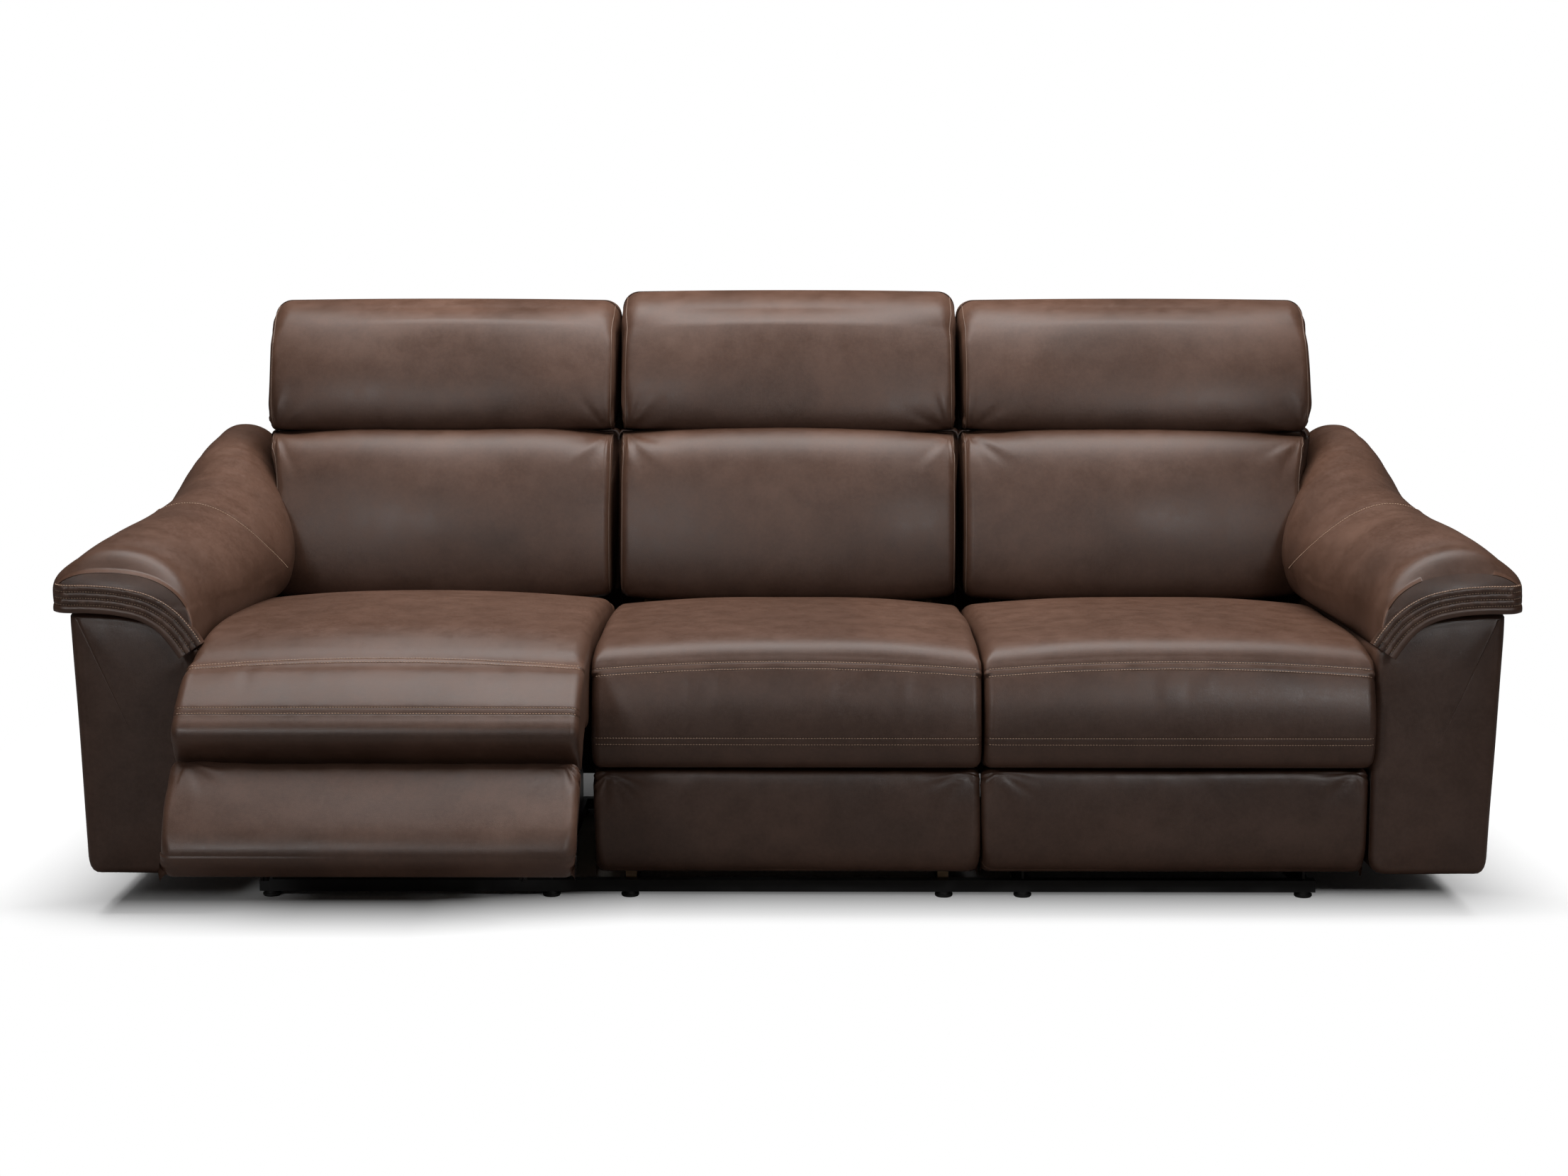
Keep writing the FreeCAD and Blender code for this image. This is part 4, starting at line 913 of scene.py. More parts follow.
@dataclass
class SeatLeather(Part):
    """Seat cushion and front flap: one skin that folds about the seam between them."""

    place: UnitPlace
    corners: tuple[Pair, ...] = (
        (672, 326), (688, 330), (690, 350), (682, 392), (640, 418), (560, 443), (470, 454),
        (340, 460), (200, 462), (100, 461), (46, 457), (8, 449), (-12, 436), (-25, 417),
        (-37, 390), (-46, 360), (-50, 330), (-50.5, 308), (-50, 297), (-49, 286),
        (-45, 272), (-38, 258), (-27, 249), (-8, 246),
        (30, 246), (45, 246), (45.5, 262), (45.5, 300), (45.5, 330), (46.5, 341),
        (56, 333), (65, 326), (90, 325.5), (250, 325.5), (450, 325.5), (620, 325.5))
    edge_top: float = 24.0
    edge_flap: float = 15.0
    edge_hidden: float = 6.0
    edge_rear: float = 10.0
    fall: float = 13.0
    crown: float = 4.0
    wave: float = 2.0
    flap_wave: float = 1.0
    flap_crown: float = 2.0
    pleat: float = 1.7
    dip: float = 0.5
    pucker: float = 0.32
    ridge: float = 0.2

    def build(self) -> None:
        """Make the skin and its stitches."""
        corners = self.corners
        if self.place.opening:
            corners = tuple(OPEN_NOSE.get(corner, corner) for corner in corners)
        outline = Outline(corners, 300, SEAT_MARKS)
        loop = outline.loop()
        y, z = loop.T
        flap = 1 / (1 + np.exp((y + 5) / 6))
        top = 1 / (1 + np.exp(-(z - 400) / 12)) * (1 - flap)
        edge = self.edge_hidden + (self.edge_top - self.edge_hidden) * top
        edge = edge + (self.edge_flap - edge) * flap * (z < 415)
        edge = edge - self.edge_rear * top * ramp(y, 480, 560)
        fall = self.fall * ramp(z, 300, 410) * np.where(y > 640, 0.3, 1.0)
        across, plane = outline.carry(loop, edge, fall)
        grid = self.place.grid(across, plane)
        grid.push(self.relief(loop, across))
        grid.points = self.place.folded(grid.points)
        unit = self.place.unit.value
        piece = self.skin(grid, f"{unit}_seat_leather", self.tone(loop, across))
        rows = [grid.row(int(np.argmin(np.linalg.norm(loop - SEAT_MARKS[mark], axis=1))))
                for mark in SEAT_ROWS]
        thread = SEAM_STITCH.sew(f"{unit}_seat_stitching", rows)
        self.shop.dress(thread, "thread", "seat_leather")
        nodes = [f"{unit}_{part}" for part in ("seat_cushion", "front_flap")]
        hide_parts(*nodes)
        for item in (piece, thread):
            if self.place.reclines:
                start, end = self.place.blend_points()
                self.place.body("seat")
                self.place.body("footrest")
                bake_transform(item)
            else:
                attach(item, "root")

    def relief(self, loop: Array, across: Array) -> Array:
        """Height above the plain form: crown, pleats below the seam, grooves and puckers.

        The crown is one less the square of the place's share of the half width. Pleats
        are noise across, strongest some way below the seam. Each row of stitches is a
        narrow groove with puckers beside it.

        Args:
            loop: Outline points.
            across: Places across the unit.

        Returns:
            Height of each point, in millimetres.
        """
        y, z = loop.T
        arch = 1 - (across / HALF_WIDTH) ** 2
        top = ramp(z, 430, 450)
        height = self.crown * top * arch
        height = height + self.wave * top * self.noise(across / 170, y / 150)
        front = ramp(y, -18, -26) * (z < 420)
        run = near(loop, SEAT_MARKS["seam"])
        wander = 6 * self.noise(across / 60, z / 55, 5)
        pleat = self.noise((across + wander + (412 - z) * 0.12) / 17, z / 160 + 3, 1)
        gather = np.clip(self.noise(across / 140, 0.0 * z, 2) * 0.8 + 0.3, 0.05, 1)
        height = height + (self.pleat * front * pleat * gather * bell(run - 22, 38)
                           * (run > 5))
        swell = front * bell(z - 350, 50)
        height = height + self.flap_wave * swell * self.noise(across / 170, z / 140, 3)
        height = height + self.flap_crown * swell * arch
        tight = self.noise(across / 7, z / 30, 4)
        for mark in SEAT_ROWS:
            gap = near(loop, SEAT_MARKS[mark])
            height = height - self.dip * bell(gap, 1.6) + self.pucker * tight * bell(gap, 7)
        return height + self.ridge * bell(run, 4.0)

    def tone(self, loop: Array, across: Array) -> Array:
        """Tone of each point: painted shade at the rows, light at the rubbed seam, and
        patches.

        Args:
            loop: Outline points.
            across: Places across the unit.

        Returns:
            Tone of each point.
        """
        # Painted shade along the rows of stitches
        fold = sum(-0.3 * bell(near(loop, SEAT_MARKS[mark]), 2.0) for mark in SEAT_ROWS)
        ridge = 0.35 * bell(near(loop, SEAT_MARKS["seam"]), 5)
        return fold + ridge + 0.25 * self.noise(across / 90, loop[:, 1] / 80, 9)


@dataclass
class LowerPanel(Part):
    """Padded lower front panel."""

    place: UnitPlace
    corners: tuple[Pair, ...] = (
        (45, 240), (30, 240), (12, 240), (2, 236), (-3, 222), (-5, 190), (-5.5, 150),
        (-4.5, 112), (-1, 92), (5, 77), (15, 68), (30, 64.5), (50, 64.5), (60, 64.5),
        (60, 72), (50, 71.7), (46, 71.7), (45.5, 76), (45.5, 100), (45.5, 150), (45.5, 225))
    top: float = 236.0
    edge_face: float = 13.0
    edge_rear: float = 5.0
    edge_foot: float = 9.0
    wave: float = 2.4
    pull: float = 1.6
    pucker: float = 0.8

    def build(self) -> None:
        """Make the panel."""
        outline = Outline(self.corners, 130, {"top": (0.0, self.top), "foot": (2.0, 70.0)})
        loop = outline.loop()
        y, z = loop.T
        edge = np.where(y < 30, self.edge_face, self.edge_rear)
        edge = edge + self.edge_foot * bell(z - 72, 26) + self.edge_rear * (y > 47)
        across, plane = outline.carry(loop, edge, 0.0)
        grid = self.place.grid(across, plane)
        grid.push(self.relief(loop, across))
        grid.points = self.place.folded(grid.points, SHARP_FOLD)
        tone = (0.3 * self.noise(across / 100, z / 70, 4)
                + 0.25 * bell(1 - np.abs(across / HALF_WIDTH), 0.05))
        piece = self.skin(grid, f"{self.place.unit.value}_panel_leather", tone)
        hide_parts(f"{self.place.unit.value}_lower_panel")
        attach(piece, self.place.body("footrest"))

    def relief(self, loop: Array, across: Array) -> Array:
        """Height above the plain form: a soft swell and pulls at the top corners.

        Args:
            loop: Outline points.
            across: Places across the unit.

        Returns:
            Height of each point, in millimetres.
        """
        y, z = loop.T
        face = (y < 12).astype(float)
        height = self.wave * face * self.noise(across / 160, z / 90)
        for side in (-1, 1):
            folds = self.pulls(side * across - (HALF_WIDTH - 25), z - self.top, 5.5,
                               (28, 34), 6, side)
            height = height + self.pull * face * folds
        tight = bell(z - 228, 16) * self.noise(across / 16, z / 60, 3)
        return height + self.pucker * face * tight


# Backs


LUMBAR_CORNERS = (
    (700, 440), (640, 433), (590, 435), (560, 442), (546, 462), (542, 500), (546, 550),
    (556, 600), (570, 645), (588, 687), (608, 716), (630, 731), (656, 738), (690, 739),
    (740, 739), (775, 738), (765, 690), (740, 600), (716, 500), (704, 455))
HEAD_CORNERS = (
    (735, 741), (712, 741), (688, 740.5), (666, 742), (650, 752), (645, 780), (651, 824),
    (669, 876), (693, 924), (718, 954), (749, 972), (785, 981), (820, 980), (850, 970),
    (868, 950), (878, 938), (880, 929), (860, 927), (832, 926), (815, 880), (795, 800),
    (778, 745))
CENTRE_RAISE = 16.0  # how much higher the centre head stands at its top


def raised(corners: tuple[Pair, ...], amount: float) -> tuple[Pair, ...]:
    """Raise the top of a head's outline, before its cover, from none at 800 mm up."""
    return tuple((y, z + amount * max(0.0, min(1.0, (z - 800) / 100)) * (y < 876))
                 for y, z in corners)


@dataclass
class BackPad(Part):
    """One of a back's two cushions: the lumbar cushion or the head cushion."""

    place: UnitPlace
    name: str
    corners: tuple[Pair, ...]
    half: Pair
    crease: Pair
    falls: Pair
    count: int = 170
    edge_front: float = 22.0
    edge_rear: float = 12.0
    edge_crest: float = 40.0
    edge_crest_rear: float = 27.0
    pinch: float = 17.0
    crown: float = 17.0
    crown_drop: float = 6.0
    dent: float = 4.0
    gather: float = 1.4
    pull: float = 2.6
    piping: float = 0.0009

    def build(self) -> None:
        """Make the cushion and its piping."""
        outline = Outline(self.corners, self.count, {"crease": self.crease}, self.half)
        loop = outline.loop()
        y, z = loop.T
        front = y < 0.62 * y.max() + 0.38 * y.min()
        edge = np.where(front, self.edge_front, self.edge_rear)
        crest = np.where(y < 790, self.edge_crest, self.edge_crest_rear)
        edge = np.where(z > TOP_EDGE, crest, edge)
        edge = edge - self.pinch * front * bell(near(loop, self.crease), 40)
        edge = np.convolve(np.concatenate((edge[-6:], edge, edge[:6])), np.ones(13) / 13,
                           "valid")
        across, plane = outline.carry(loop, edge, self.falls[1])
        left, right = self.half
        share = (across - (right - left) / 2) / ((right + left) / 2)
        plane[..., 0] += self.falls[0] * share ** 2 * front
        across = self.place.beside_arm(across, z)
        grid = self.place.grid(across, plane)
        grid.push(self.relief(loop, across, share, front))
        # Painted shade along the crease between head and lumbar cushions; the face's side
        # edges are rubbed lighter
        tone = (0.3 * self.noise(across / 110, z / 90, 4)
                - 0.5 * bell(near(loop, self.crease), 8)
                + 0.3 * bell(1 - np.abs(share), 0.03) * front)
        piece = self.skin(grid, f"{self.place.unit.value}_{self.name}_leather", tone)
        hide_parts(f"{self.place.unit.value}_{self.name}_cushion")
        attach(piece, self.place.body("back"))
        self.pipe(grid, front)

    def relief(self, loop: Array, across: Array, share: Array, front: Array) -> Array:
        """Height above the plain form: crown, broad dents and pulls at the crease's ends.

        The crown is one less the place's share of the half width to the power 2.4.

        Args:
            loop: Outline points.
            across: Places across the unit.
            share: Place across as a share of the half width.
            front: Which outline points face forwards.

        Returns:
            Height of each point, in millimetres.
        """
        z = loop[:, 1]
        face = front * ramp(z, 965, 935)
        height = face * (self.crown * (1 - np.abs(share) ** 2.4) - self.crown_drop)
        height = height + self.dent * face * self.noise(across / 190, z / 120)
        gap = near(loop, self.crease)
        height = height + (self.gather * front * bell(gap - 14, 30)
                           * self.noise(across / 24, z / 70, 1))
        for side in (-1, 1):
            folds = self.pulls((side * share - 0.95) * HALF_WIDTH, z - self.crease[1], 4.5,
                               (34, 44), 5, side)
            height = height + self.pull * front * folds
        return height

    def pipe(self, grid: Grid, front: Array) -> None:
        """Lay a thin piping down both side edges of the cushion's face.

        Args:
            grid: The finished cushion.
            front: Which outline points face forwards.
        """
        columns = np.flatnonzero(front)
        jump = np.flatnonzero(np.diff(columns) > 1)
        if len(jump):
            columns = np.roll(columns, -(jump[0] + 1))
        rim = len(grid.points) // 16
        normals = grid.normals()
        for end, row in (("a", rim), ("b", len(grid.points) - 1 - rim)):
            path = grid.points[row, columns] + normals[row, columns] * 0.0005
            welt = tube(path, normals[row, columns], self.piping)
            piece = welt.mesh(f"{self.place.unit.value}_{self.name}_piping_{end}")
            self.shop.dress(piece, "piping", "seat_leather")
            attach(piece, self.place.body("back"))


@dataclass
class BackCover(Part):
    """Leather cover over the rear of a back."""

    place: UnitPlace
    half: Pair
    corners: tuple[Pair, ...] = (
        (752, 313), (800, 312), (848, 313), (858, 330), (880, 420), (900, 540), (915, 660),
        (927, 780), (935, 880), (939, 926), (932, 941), (905, 942), (883, 941), (880, 934),
        (879, 927), (860, 926), (834, 926), (815, 860), (780, 730), (740, 580), (706, 450),
        (712, 430))
    edge_rear: float = 11.0
    edge_front: float = 5.0
    edge_crest: float = 25.0
    wave: float = 1.6
    groove: float = 0.9
    groove_at: float = 0.93

    def build(self) -> None:
        """Make the cover: a slow wave of its rear, and a sewn groove beside each edge."""
        outline = Outline(self.corners, 150, {"brow": (936.0, 938.0)}, self.half, 60)
        loop = outline.loop()
        y, z = loop.T
        edge = np.where(y > 870, self.edge_rear, self.edge_front)
        edge = edge + ramp(z, 890, 930) * (self.edge_crest - edge)
        across, plane = outline.carry(loop, edge, 0.0)
        across = self.place.beside_arm(across, z)
        grid = self.place.grid(across, plane)
        rear = ramp(y, 855, 875) * (z < 930)
        sewn = np.abs(across / HALF_WIDTH) - self.groove_at
        grid.push(rear * (self.wave * self.noise(across / 190, z / 170)
                          - self.groove * bell(sewn, 0.008)))
        # Painted shade in the sewn grooves beside the rear's edges
        tone = 0.3 * self.noise(across / 110, z / 90, 1) - 0.4 * rear * bell(sewn, 0.006)
        piece = self.skin(grid, f"{self.place.unit.value}_cover_leather", tone,
                          "cover_leather")
        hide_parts(f"{self.place.unit.value}_back_shell")
        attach(piece, self.place.body("back"))


# Arms


# Underside of the arm pad, which is the same all along, and the rest at each depth
PAD_UNDERSIDE = ((1120, 502), (1060, 498), (1015, 490), (985, 472), (966, 448), (955, 438))
PAD_SECTIONS = {
    -33.0: ((947, 441), (948, 462), (952, 500), (972, 532), (1010, 556), (1060, 566),
            (1120, 566), (1152, 556), (1170, 540), (1170, 518), (1162, 504)),
    -16.0: ((946, 441), (945, 470), (950, 512), (972, 550), (1010, 577), (1060, 590),
            (1112, 589), (1147, 574), (1174, 552), (1176, 526), (1164, 505)),
    30.0: ((946, 441), (944, 475), (949, 520), (972, 562), (1010, 592), (1060, 606),
           (1110, 603), (1146, 583), (1176, 554), (1177, 526), (1164, 505)),
    150.0: ((946, 441), (924, 468), (922, 520), (950, 572), (996, 608), (1050, 624),
            (1102, 617), (1140, 592), (1174, 556), (1175, 527), (1164, 505)),
    300.0: ((946, 441), (912, 466), (902, 520), (924, 578), (972, 618), (1028, 638),
            (1084, 631), (1122, 604), (1165, 560), (1171, 528), (1164, 505)),
    440.0: ((946, 441), (906, 464), (892, 520), (908, 585), (956, 634), (1012, 660),
            (1062, 656), (1106, 622), (1152, 570), (1168, 532), (1164, 505)),
    545.0: ((946, 441), (908, 466), (893, 530), (906, 595), (944, 645), (996, 682),
            (1050, 682), (1096, 650), (1146, 584), (1165, 535), (1164, 505)),
    640.0: ((946, 441), (936, 490), (926, 555), (930, 615), (952, 666), (992, 706),
            (1038, 716), (1090, 696), (1140, 606), (1161, 540), (1164, 505)),
    750.0: ((946, 441), (947, 490), (949, 560), (952, 602), (960, 650), (970, 708),
            (1010, 742), (1074, 736), (1132, 634), (1157, 550), (1164, 505)),
    815.0: ((946, 441), (947, 490), (949, 560), (952, 602), (961, 650), (971, 702),
            (1010, 735), (1068, 726), (1126, 626), (1153, 548), (1162, 505)),
    838.0: ((947, 441), (948, 490), (951, 555), (958, 590), (980, 630), (988, 680),
            (1012, 704), (1044, 692), (1108, 600), (1142, 540), (1154, 505)),
}


@dataclass
class ArmPart(Part):
    """A part of an arm, in places across, depths and heights in millimetres."""

    face: float

    def grid(self, side: Side, section: Array, depth: Array) -> Grid:
        """Grid in metres from section points, of places across and heights, and depths."""
        y = np.broadcast_to(self.face + depth * MM, section.shape[:2])
        return Grid(np.stack((side.value * section[..., 0] * MM, y, section[..., 1] * MM),
                             axis=-1))


@dataclass
class ArmPad(ArmPart):
    """Arm pad: a broad roll in front that climbs to a wing beside the back."""

    side: Side
    stations: int = 150
    count: int = 150
    hub: Pair = (1064.0, 528.0)
    nose: float = 11.0
    nose_rings: int = 16
    underside: float = 508.0
    wave: float = 2.6
    crinkle: float = 1.1
    seam_dip: float = 1.6
    seam_lip: float = 0.8
    stitch_off: float = 4.5

    def sections(self) -> tuple[Array, Array]:
        """Carry the sections along the arm and close their front with a rounded nose.

        Corner paths are smooth in depth, each section is rounded, and its points are
        spaced by their running length. The nose is the first section shrunk towards a
        hub, moved forwards by the sine of how far it is shrunk.

        Returns:
            Section points and the depth of each section.
        """
        depths = np.array(list(PAD_SECTIONS))
        rows = np.array([row + PAD_UNDERSIDE for row in PAD_SECTIONS.values()], float)
        # The first section comes twice, which keeps the edge of the nose crisp
        wanted = np.concatenate((depths[:1],
                                 np.linspace(depths[0], depths[-1], self.stations)))
        loops = rounded_loop(smooth_path(depths, rows, wanted))
        ring = np.concatenate((loops, loops[:, :1]), axis=1)
        share = np.linspace(0, 1, self.count, endpoint=False)
        spaced = np.stack([read_along(share * length[-1], length, loop)
                           for loop, length in zip(ring, run_lengths(ring))])
        shrink = np.linspace(0.02, 0.97, self.nose_rings)
        nose = self.hub + (spaced[0] - self.hub) * shrink[:, None, None]
        bulge = self.nose * np.sin(np.pi / 2 * (1 - shrink))
        return np.concatenate((nose, spaced)), np.concatenate((depths[0] - bulge, wanted))

    def seam_line(self, depth: Array, section: Array) -> Array:
        """Distance from the arc seam that crosses the pad.

        The seam runs straight over the top, curves back by the square of the drop on the
        inner side, and leans back on the outer side.

        Args:
            depth: Depth of each point.
            section: Section points.

        Returns:
            The distances, behind the seam above 0.
        """
        inner = np.clip(610 - section[..., 1], 0, None) * (section[..., 0] < 1010)
        outer = np.clip(section[..., 0] - 1085, 0, None)
        return depth - (338 + np.minimum(0.0135 * inner ** 2, 205) + 1.6 * outer)

    def build(self) -> None:
        """Make the pad with its seam and the row of stitches before it."""
        section, depth = self.sections()
        depth = depth[:, None]
        x, z = section[..., 0], section[..., 1]
        grid = self.grid(self.side, section, depth)
        away = self.seam_line(depth, section)
        upper = (z > self.underside).astype(float)
        crinkle = self.noise(depth / 15 + z / 90, x / 100, 1)
        grid.push(upper * (self.wave * self.noise(depth / 150, x / 120)
                           + self.crinkle * ramp(depth, 480, 600) * crinkle
                           - self.seam_dip * bell(away, 4.0)
                           + self.seam_lip * bell(away + 9, 6.0)))
        # Painted shade along the seam that crosses the pad
        tone = 0.3 * self.noise(depth / 90, x / 80, 3) - 0.5 * bell(away, 3.0) * upper
        piece = self.skin(grid, f"{self.side.word}_arm_leather", tone)
        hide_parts(f"{self.side.word}_arm_pad")
        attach(piece, "root")
        columns = np.flatnonzero(upper[60] > 0)
        thread = SEAM_STITCH.sew(f"{self.side.word}_arm_seam_stitching",
                                 [self.seam_row(grid, away, columns)])
        self.shop.dress(thread, "thread", "seat_leather")
        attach(thread, "root")

    def seam_row(self, grid: Grid, away: Array, columns: Array) -> tuple[Array, Array]:
        """Find the line just before the seam, where each column of the pad crosses it.

        Args:
            grid: The finished pad.
            away: Distance of each point from the seam.
            columns: Numbers of the columns on the pad's upper side.

        Returns:
            Points of the line and the normals there.
        """
        normals = grid.normals()
        path, out = [], []
        for column in columns:
            run = away[:, column] + self.stitch_off
            crossing = np.flatnonzero(np.diff(np.sign(run)) > 0)
            if len(crossing):
                k = crossing[-1]
                share = run[k] / (run[k] - run[k + 1])
                before, after = grid.points[k:k + 2, column]
                path.append(before * (1 - share) + after * share)
                out.append(normals[k, column])
        return np.array(path) + np.array(out) * 0.0004, np.array(out)


@dataclass
class ArmCasing(ArmPart):
    """Leather-covered casing of an arm, with a soft front panel."""

    side: Side
    corners: tuple[Pair, ...] = (
        (1137, 68), (1139, 130), (1143, 240), (1148, 380), (1152, 480), (1151, 501),
        (1120, 500), (1060, 495), (1015, 488), (985, 470), (966, 446), (950, 440),
        (945.5, 430), (945.5, 380), (945.5, 250), (945.5, 110), (946, 84), (958, 68.5),
        (1000, 68), (1100, 68))
    reach: Pair = (-13.0, 837.0)
    edge: float = 15.0
    hub: Pair = (1048.0, 285.0)
    rings: int = 22
    front_bulge: float = 8.0
    rear_bulge: float = 3.0
    wave: float = 1.2
    pucker: float = 0.9

    def sections(self) -> tuple[Array, Array]:
        """Carry the outline from front to rear, and close both ends with a soft bulge.

        Within the edge of either end the outline moves in by a circle's arc. Each end is
        then the last outline shrunk towards a hub. The front bulges by an exponential of
        the distance from its boundary, the rear by the fourth power of its shrinking.

        Returns:
            Section points and their depths.
        """
        loop = spaced_loop(rounded_loop(np.array(self.corners), 3), 150)
        front, rear = self.reach
        rim = self.edge * (1 - np.cos(np.linspace(0, np.pi / 2, 9)))
        depth = np.concatenate((
            front + rim, np.linspace(front + self.edge, rear - self.edge, 60),
            rear - rim[::-1]))
        share = np.clip(1 - np.minimum(depth - front, rear - depth) / self.edge, 0, 1)
        draw = self.edge * (1 - np.sqrt(1 - share ** 2))
        section = loop - loop_normals(loop) * draw[:, None, None]
        shrink = np.linspace(0.03, 0.97, self.rings)[:, None, None]
        before = self.hub + (section[0] - self.hub) * shrink
        behind = self.hub + (section[-1] - self.hub) * shrink[::-1]
        gap = np.linalg.norm(before[:, :, None] - section[0], axis=3).min(axis=2)
        bulge = depth[0] - self.front_bulge * (1 - np.exp(-gap / 38.0))
        depth = np.concatenate((
            depth, depth[-1] + self.rear_bulge * (1 - shrink[::-1, 0, 0] ** 4)))
        depth = np.broadcast_to(depth[:, None], (len(depth), len(loop)))
        return np.concatenate((before, section, behind)), np.concatenate((bulge, depth))

    def build(self) -> None:
        """Make the casing: a slow wave, with puckers under the pad at the front."""
        section, depth = self.sections()
        x, z = section[..., 0], section[..., 1]
        grid = self.grid(self.side, section, depth)
        pull = bell(z - 492, 26) * (depth < 0)
        grid.push(self.wave * self.noise(x / 110 + depth / 160, z / 150)
                  + self.pucker * pull * self.noise(x / 14, z / 60, 1))
        tone = 0.3 * self.noise(x / 90 + depth / 120, z / 100, 2)
        piece = self.skin(grid, f"{self.side.word}_casing_leather", tone, "cover_leather")
        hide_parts(f"{self.side.word}_arm_shell")
        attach(piece, "root")


@dataclass
class ArmBand(ArmPart):
    """Sewn band that sweeps along the front lower edge of an arm pad: ribs over a roll."""

    lower: tuple[Pair, ...] = (
        (1176, 503), (1150, 501.5), (1110, 501), (1066, 497), (1030, 488), (1004, 472),
        (984, 449), (970, 428))
    count: int = 260
    steps: int = 84
    roll: float = 14.0
    roll_rise: float = 5.6
    rib: float = 10.5
    rib_foot: float = 1.8
    rib_rise: float = 3.2
    ribs: int = 3
    front: float = -41.0
    back: float = -24.0
    wrap: float = 14.0
    lean: float = 5.0
    pucker: float = 0.55
    wave: float = 0.5

    def line(self) -> tuple[Array, Array, Array]:
        """The lower edge as a smooth line.

        Returns:
            Places across and heights, directions across the line, and running lengths.
        """
        base = np.array(self.lower)
        run = run_lengths(base)
        length = np.linspace(0, run[-1], self.count)
        line = smooth_path(run, base, length)
        along = unit_length(np.gradient(line, axis=0))
        return line, np.stack((along[:, 1], -along[:, 0]), axis=1), length

    def profile(self, rise: Array) -> Array:
        """How far the band stands out at each height above its lower edge.

        The roll is half a circle's arch, and each rib is a lower arch: the square root of a
        sine over its own height.

        Args:
            rise: Heights above the lower edge, in millimetres.

        Returns:
            Distances, in millimetres.
        """
        roll = np.clip(rise / self.roll, 0, 1)
        rib = (rise - self.roll) / self.rib
        arch = np.sqrt(np.clip(np.sin(np.pi * (rib - np.floor(rib))), 0, 1))
        return np.where((rib >= 0) & (rib <= self.ribs), self.rib_foot + self.rib_rise * arch,
                        self.roll_rise * np.sqrt(np.sin(np.pi * roll) + 1e-9))

    def build(self, side: Side) -> None:
        """Make the band of one arm and the stitches in its grooves.

        The band's face follows its profile with puckers between the ribs. It turns back
        and leans in at its outer end by the square of the nearness to that end.

        Args:
            side: Which arm.
        """
        line, across, length = self.line()
        length = length[:, None]
        rise = np.linspace(0.0, self.roll + self.ribs * self.rib, self.steps)
        groove = (rise - self.roll) / self.rib
        groove = np.abs(groove - np.round(groove)) * self.rib
        sewn = rise > self.roll - 1
        puff = self.noise(length / 5.2, rise / 9.0)
        slow = self.noise(length / 26, rise / 16, 1)
        stand = self.profile(rise) + sewn * (self.pucker * puff * bell(groove - 2.5, 3.5)
                                             + self.wave * slow)
        depth = self.front - stand + self.wrap * ramp(length, 26, 0) ** 2
        face = line[:, None] + across[:, None] * rise[:, None]
        face[..., 0] -= self.lean * ramp(length, 30, 0) ** 2
        rear = face[:, ::-6]
        grid = self.grid(side, np.concatenate((face, rear), axis=1), np.concatenate(
            (depth, np.full(rear.shape[:2], self.back)), axis=1))
        # Painted shade in the grooves between the ribs
        tone = (0.3 + 0.45 * puff * sewn + 0.3 * slow - 1.2 * bell(groove, 1.4) * sewn)
        piece = self.skin(grid, f"{side.word}_arm_band", np.concatenate(
            (tone, np.zeros(rear.shape[:2])), axis=1))
        if side is Side.RIGHT:
            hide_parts("arm_front_welts")
        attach(piece, "root")
        grooves = [np.argmin(np.abs(rise - (self.roll + rib * self.rib)))
                   for rib in range(self.ribs + 1)]
        rows = [grid.row(min(int(column), self.steps - 3), 0.0006, 3) for column in grooves]
        thread = BAND_STITCH.sew(f"{side.word}_arm_band_stitching", rows)
        self.shop.dress(thread, "thread", "seat_leather")
        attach(thread, "root")


# Studio


CAMERA_LENS = 58.96
CAMERA_PLACE = (0.01907, -4.38363, 1.0926)
CAMERA_DOWN, CAMERA_TURN = 7.745, 0.328
FLOOR_REACH = 14.0
FLOOR_SEEN = (0.9, 0.9, 0.9, 1)       # what the camera sees of it
FLOOR_UNSEEN = (0.17, 0.15, 0.14, 1)  # what lights the sofa from below
# Colour of a painted shadow on the floor
FLOOR_PAINTED_SHADOW = (0.09, 0.09, 0.09, 1)     # behind the sofa, seen under its apron
WORLD_LIGHT = 0.05


def make_camera() -> None:
    """Set the camera at the photograph's viewing point and angle."""
    data = bpy.data.cameras.new("camera")
    data.lens = CAMERA_LENS
    data.sensor_width = 36.0
    camera = bpy.data.objects.new("camera", data)
    camera.location = CAMERA_PLACE
    camera.rotation_euler = (math.radians(90 - CAMERA_DOWN), 0.0, math.radians(CAMERA_TURN))
    bpy.context.scene.collection.objects.link(camera)
    bpy.context.scene.camera = camera


@dataclass(frozen=True)
class Lamp:
    """A soft lamp: size, place and aim in metres, power in watts, and what it lights."""

    name: str
    size: Pair
    place: Triple
    aim: Triple
    power: float
    shines: bool = True  # whether it shows in glossy reflections
    fills: bool = True   # whether it lights matt surfaces

    def hang(self) -> None:
        """Hang the lamp."""
        data = bpy.data.lights.new(self.name, "AREA")
        data.shape = "RECTANGLE"
        data.size, data.size_y = self.size
        data.energy = self.power
        lamp = bpy.data.objects.new(self.name, data)
        lamp.location = self.place
        lamp.visible_glossy = self.shines
        lamp.visible_diffuse = self.fills
        way = Vector(self.aim) - Vector(self.place)
        lamp.rotation_euler = way.to_track_quat("-Z", "Y").to_euler()
        bpy.context.scene.collection.objects.link(lamp)


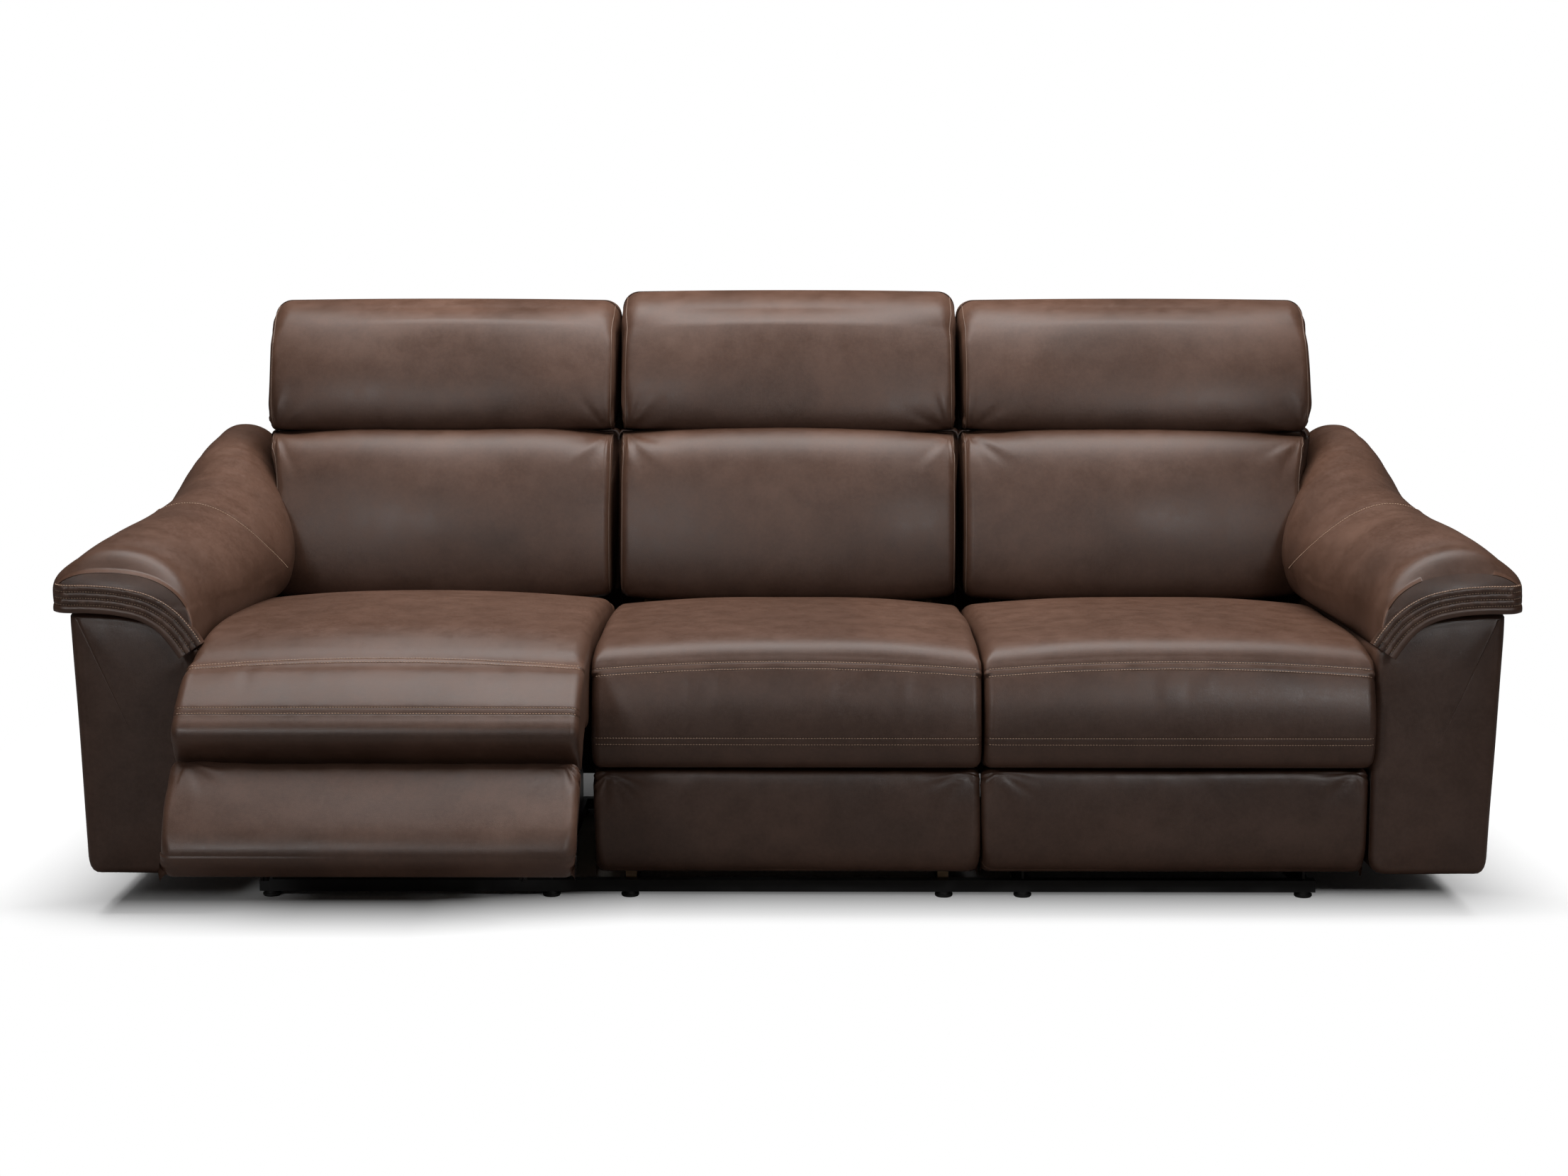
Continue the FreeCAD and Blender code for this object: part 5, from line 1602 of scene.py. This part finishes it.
def make_floor() -> None:
    """Lay a pale floor that shows white to the camera and keeps the sofa's shadow.

    The camera sees plain white beside, behind and before the sofa, and the lit floor
    near it, with a painted shadow on the floor behind the sofa.
    """
    square = np.array([(-1, -1, 0), (1, -1, 0), (1, 1, 0), (-1, 1, 0)], float)
    floor = new_object("floor", square * FLOOR_REACH, [[0, 1, 2, 3]])
    material = bpy.data.materials.new("pale_floor")
    material.use_nodes = True
    nodes = Nodes(material.node_tree)
    seen = nodes.add("LightPath", "Is Camera Ray", {})
    place = nodes.add("TexCoord", "Object", {})
    x, y = (nodes.add("SeparateXYZ", axis, {0: place}) for axis in (0, 1))
    aside = nodes.maths("ABSOLUTE", x, 0.0)
    beside = nodes.ranged(aside, 1.12, 1.7)
    behind = nodes.ranged(y, 2.0, 3.0)
    open_side = nodes.ranged(x, -0.25, -0.6, 0.0, 0.08)
    before = nodes.ranged(nodes.maths("ADD", y, open_side), -0.13, -0.37)
    far = reduce(lambda a, b: nodes.maths("MAXIMUM", a, b), (beside, behind, before))
    # Painted shadow behind the sofa, where the floor shows under its apron
    painted_shadow = reduce(lambda a, b: nodes.maths("MULTIPLY", a, b),
                 (nodes.ranged(y, 0.3, 0.45), nodes.ranged(y, 1.2, 0.85),
                  nodes.ranged(aside, 1.1, 0.85)))
    pale = nodes.mixed(seen, FLOOR_UNSEEN, FLOOR_SEEN)
    shader = nodes.tree.nodes["Principled BSDF"]
    for label, value in (("Base Color", nodes.mixed(painted_shadow, pale, FLOOR_PAINTED_SHADOW)),
                         ("Roughness", 0.9), ("Specular IOR Level", 0.1)):
        nodes.feed(shader.inputs[label], value)
    shown = nodes.add("MixShader", 0, {0: nodes.maths("MULTIPLY", seen, far),
                                       1: shader.outputs[0],
                                       2: nodes.add("Emission", 0, {"Strength": 1.0})})
    nodes.feed(nodes.tree.nodes["Material Output"].inputs["Surface"], shown)
    floor.data.materials.append(material)


def make_world() -> None:
    """Fill the room with even light, and show white behind the sofa."""
    world = bpy.data.worlds.new("studio")
    world.use_nodes = True
    nodes = Nodes(world.node_tree)
    background = nodes.tree.nodes["Background"]
    background.inputs["Color"].default_value = (1, 1, 1, 1)
    seen = nodes.add("LightPath", "Is Camera Ray", {})
    nodes.feed(background.inputs["Strength"], nodes.ranged(seen, 0.0, 1.0, WORLD_LIGHT, 1.0))
    bpy.context.scene.world = world


def make_studio() -> None:
    """Set up the camera, the lamps, the floor and the world."""
    make_camera()
    make_floor()
    make_world()
    lamps = [Lamp("overhead", (4.4, 2.4), (0.0, 0.35, 3.1), (0.0, 0.2, 0.4), 200.0,
                  shines=False),
             Lamp("sheen", (3.4, 1.6), (0.0, 0.1, 3.1), (0.0, 0.1, 0.4), 76.0)]
    for word, sign, power in (("left", -1, 30.0), ("right", 1, 33.0)):
        lamps += [Lamp(f"front_{word}", (0.9, 0.7), (1.75 * sign, -3.5, 1.8),
                       (0.4 * sign, 0.2, 0.6), 21.0, shines=False),
                  Lamp(f"glint_{word}", (0.5, 0.42), (1.75 * sign, -3.4, 1.85),
                       (0.7 * sign, 0.2, 0.6), power, fills=False)]
    for lamp in lamps:
        lamp.hang()
    bpy.context.scene.view_settings.view_transform = "Standard"


def dress_nodes(frame: dict, shop: Workshop) -> None:
    """Give every node that stays visible its finish.

    Args:
        shop: The workshop.
    """
    slots = {part["node"]: part["material_slot"] for part in frame["record"]["subparts"]}
    for name, node in frame["nodes"].items():
        if not node.hide_render:
            node.data.materials.clear()
            node.data.materials.append(shop.materials[SLOT_FINISHES[slots[name]]])


def main() -> None:
    """Build every piece in order and report each one."""
    logging.basicConfig(level=logging.INFO, format="%(message)s")
    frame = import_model()
    places = read_places(frame)
    groups = {"hide": hide_group(), "speckle": speckle_group()}
    shop = Workshop({name: finish.build(groups) for name, finish in FINISHES.items()})
    make_studio()
    for number, (unit, place) in enumerate(places.items()):
        SeatLeather(shop, 10 + number, place).build()
        LowerPanel(shop, 30 + number, place).build()
        half = (HALF_WIDTH + WING * (unit is Unit.LEFT),
                HALF_WIDTH + WING * (unit is Unit.RIGHT))
        BackPad(shop, 50 + number, place, "lumbar", LUMBAR_CORNERS, half, (690.0, 738.0),
                (12.0, 0.0)).build()
        corners = raised(HEAD_CORNERS, CENTRE_RAISE * (unit is Unit.CENTRE))
        BackPad(shop, 70 + number, place, "head", corners, half, (690.0, 741.0),
                (11.0, 3.0)).build()
        BackCover(shop, 80 + number, place, half).build()
    face = places[Unit.CENTRE].face
    band = ArmBand(shop, 120, face)
    for side in Side:
        ArmPad(shop, 90 + side.value, face, side).build()
        ArmCasing(shop, 100 + side.value, face, side).build()
        band.build(side)
    dress_nodes(frame, shop)
    LOG.info("%d new pieces", len(shop.made))


if __name__ == "__main__":
    main()
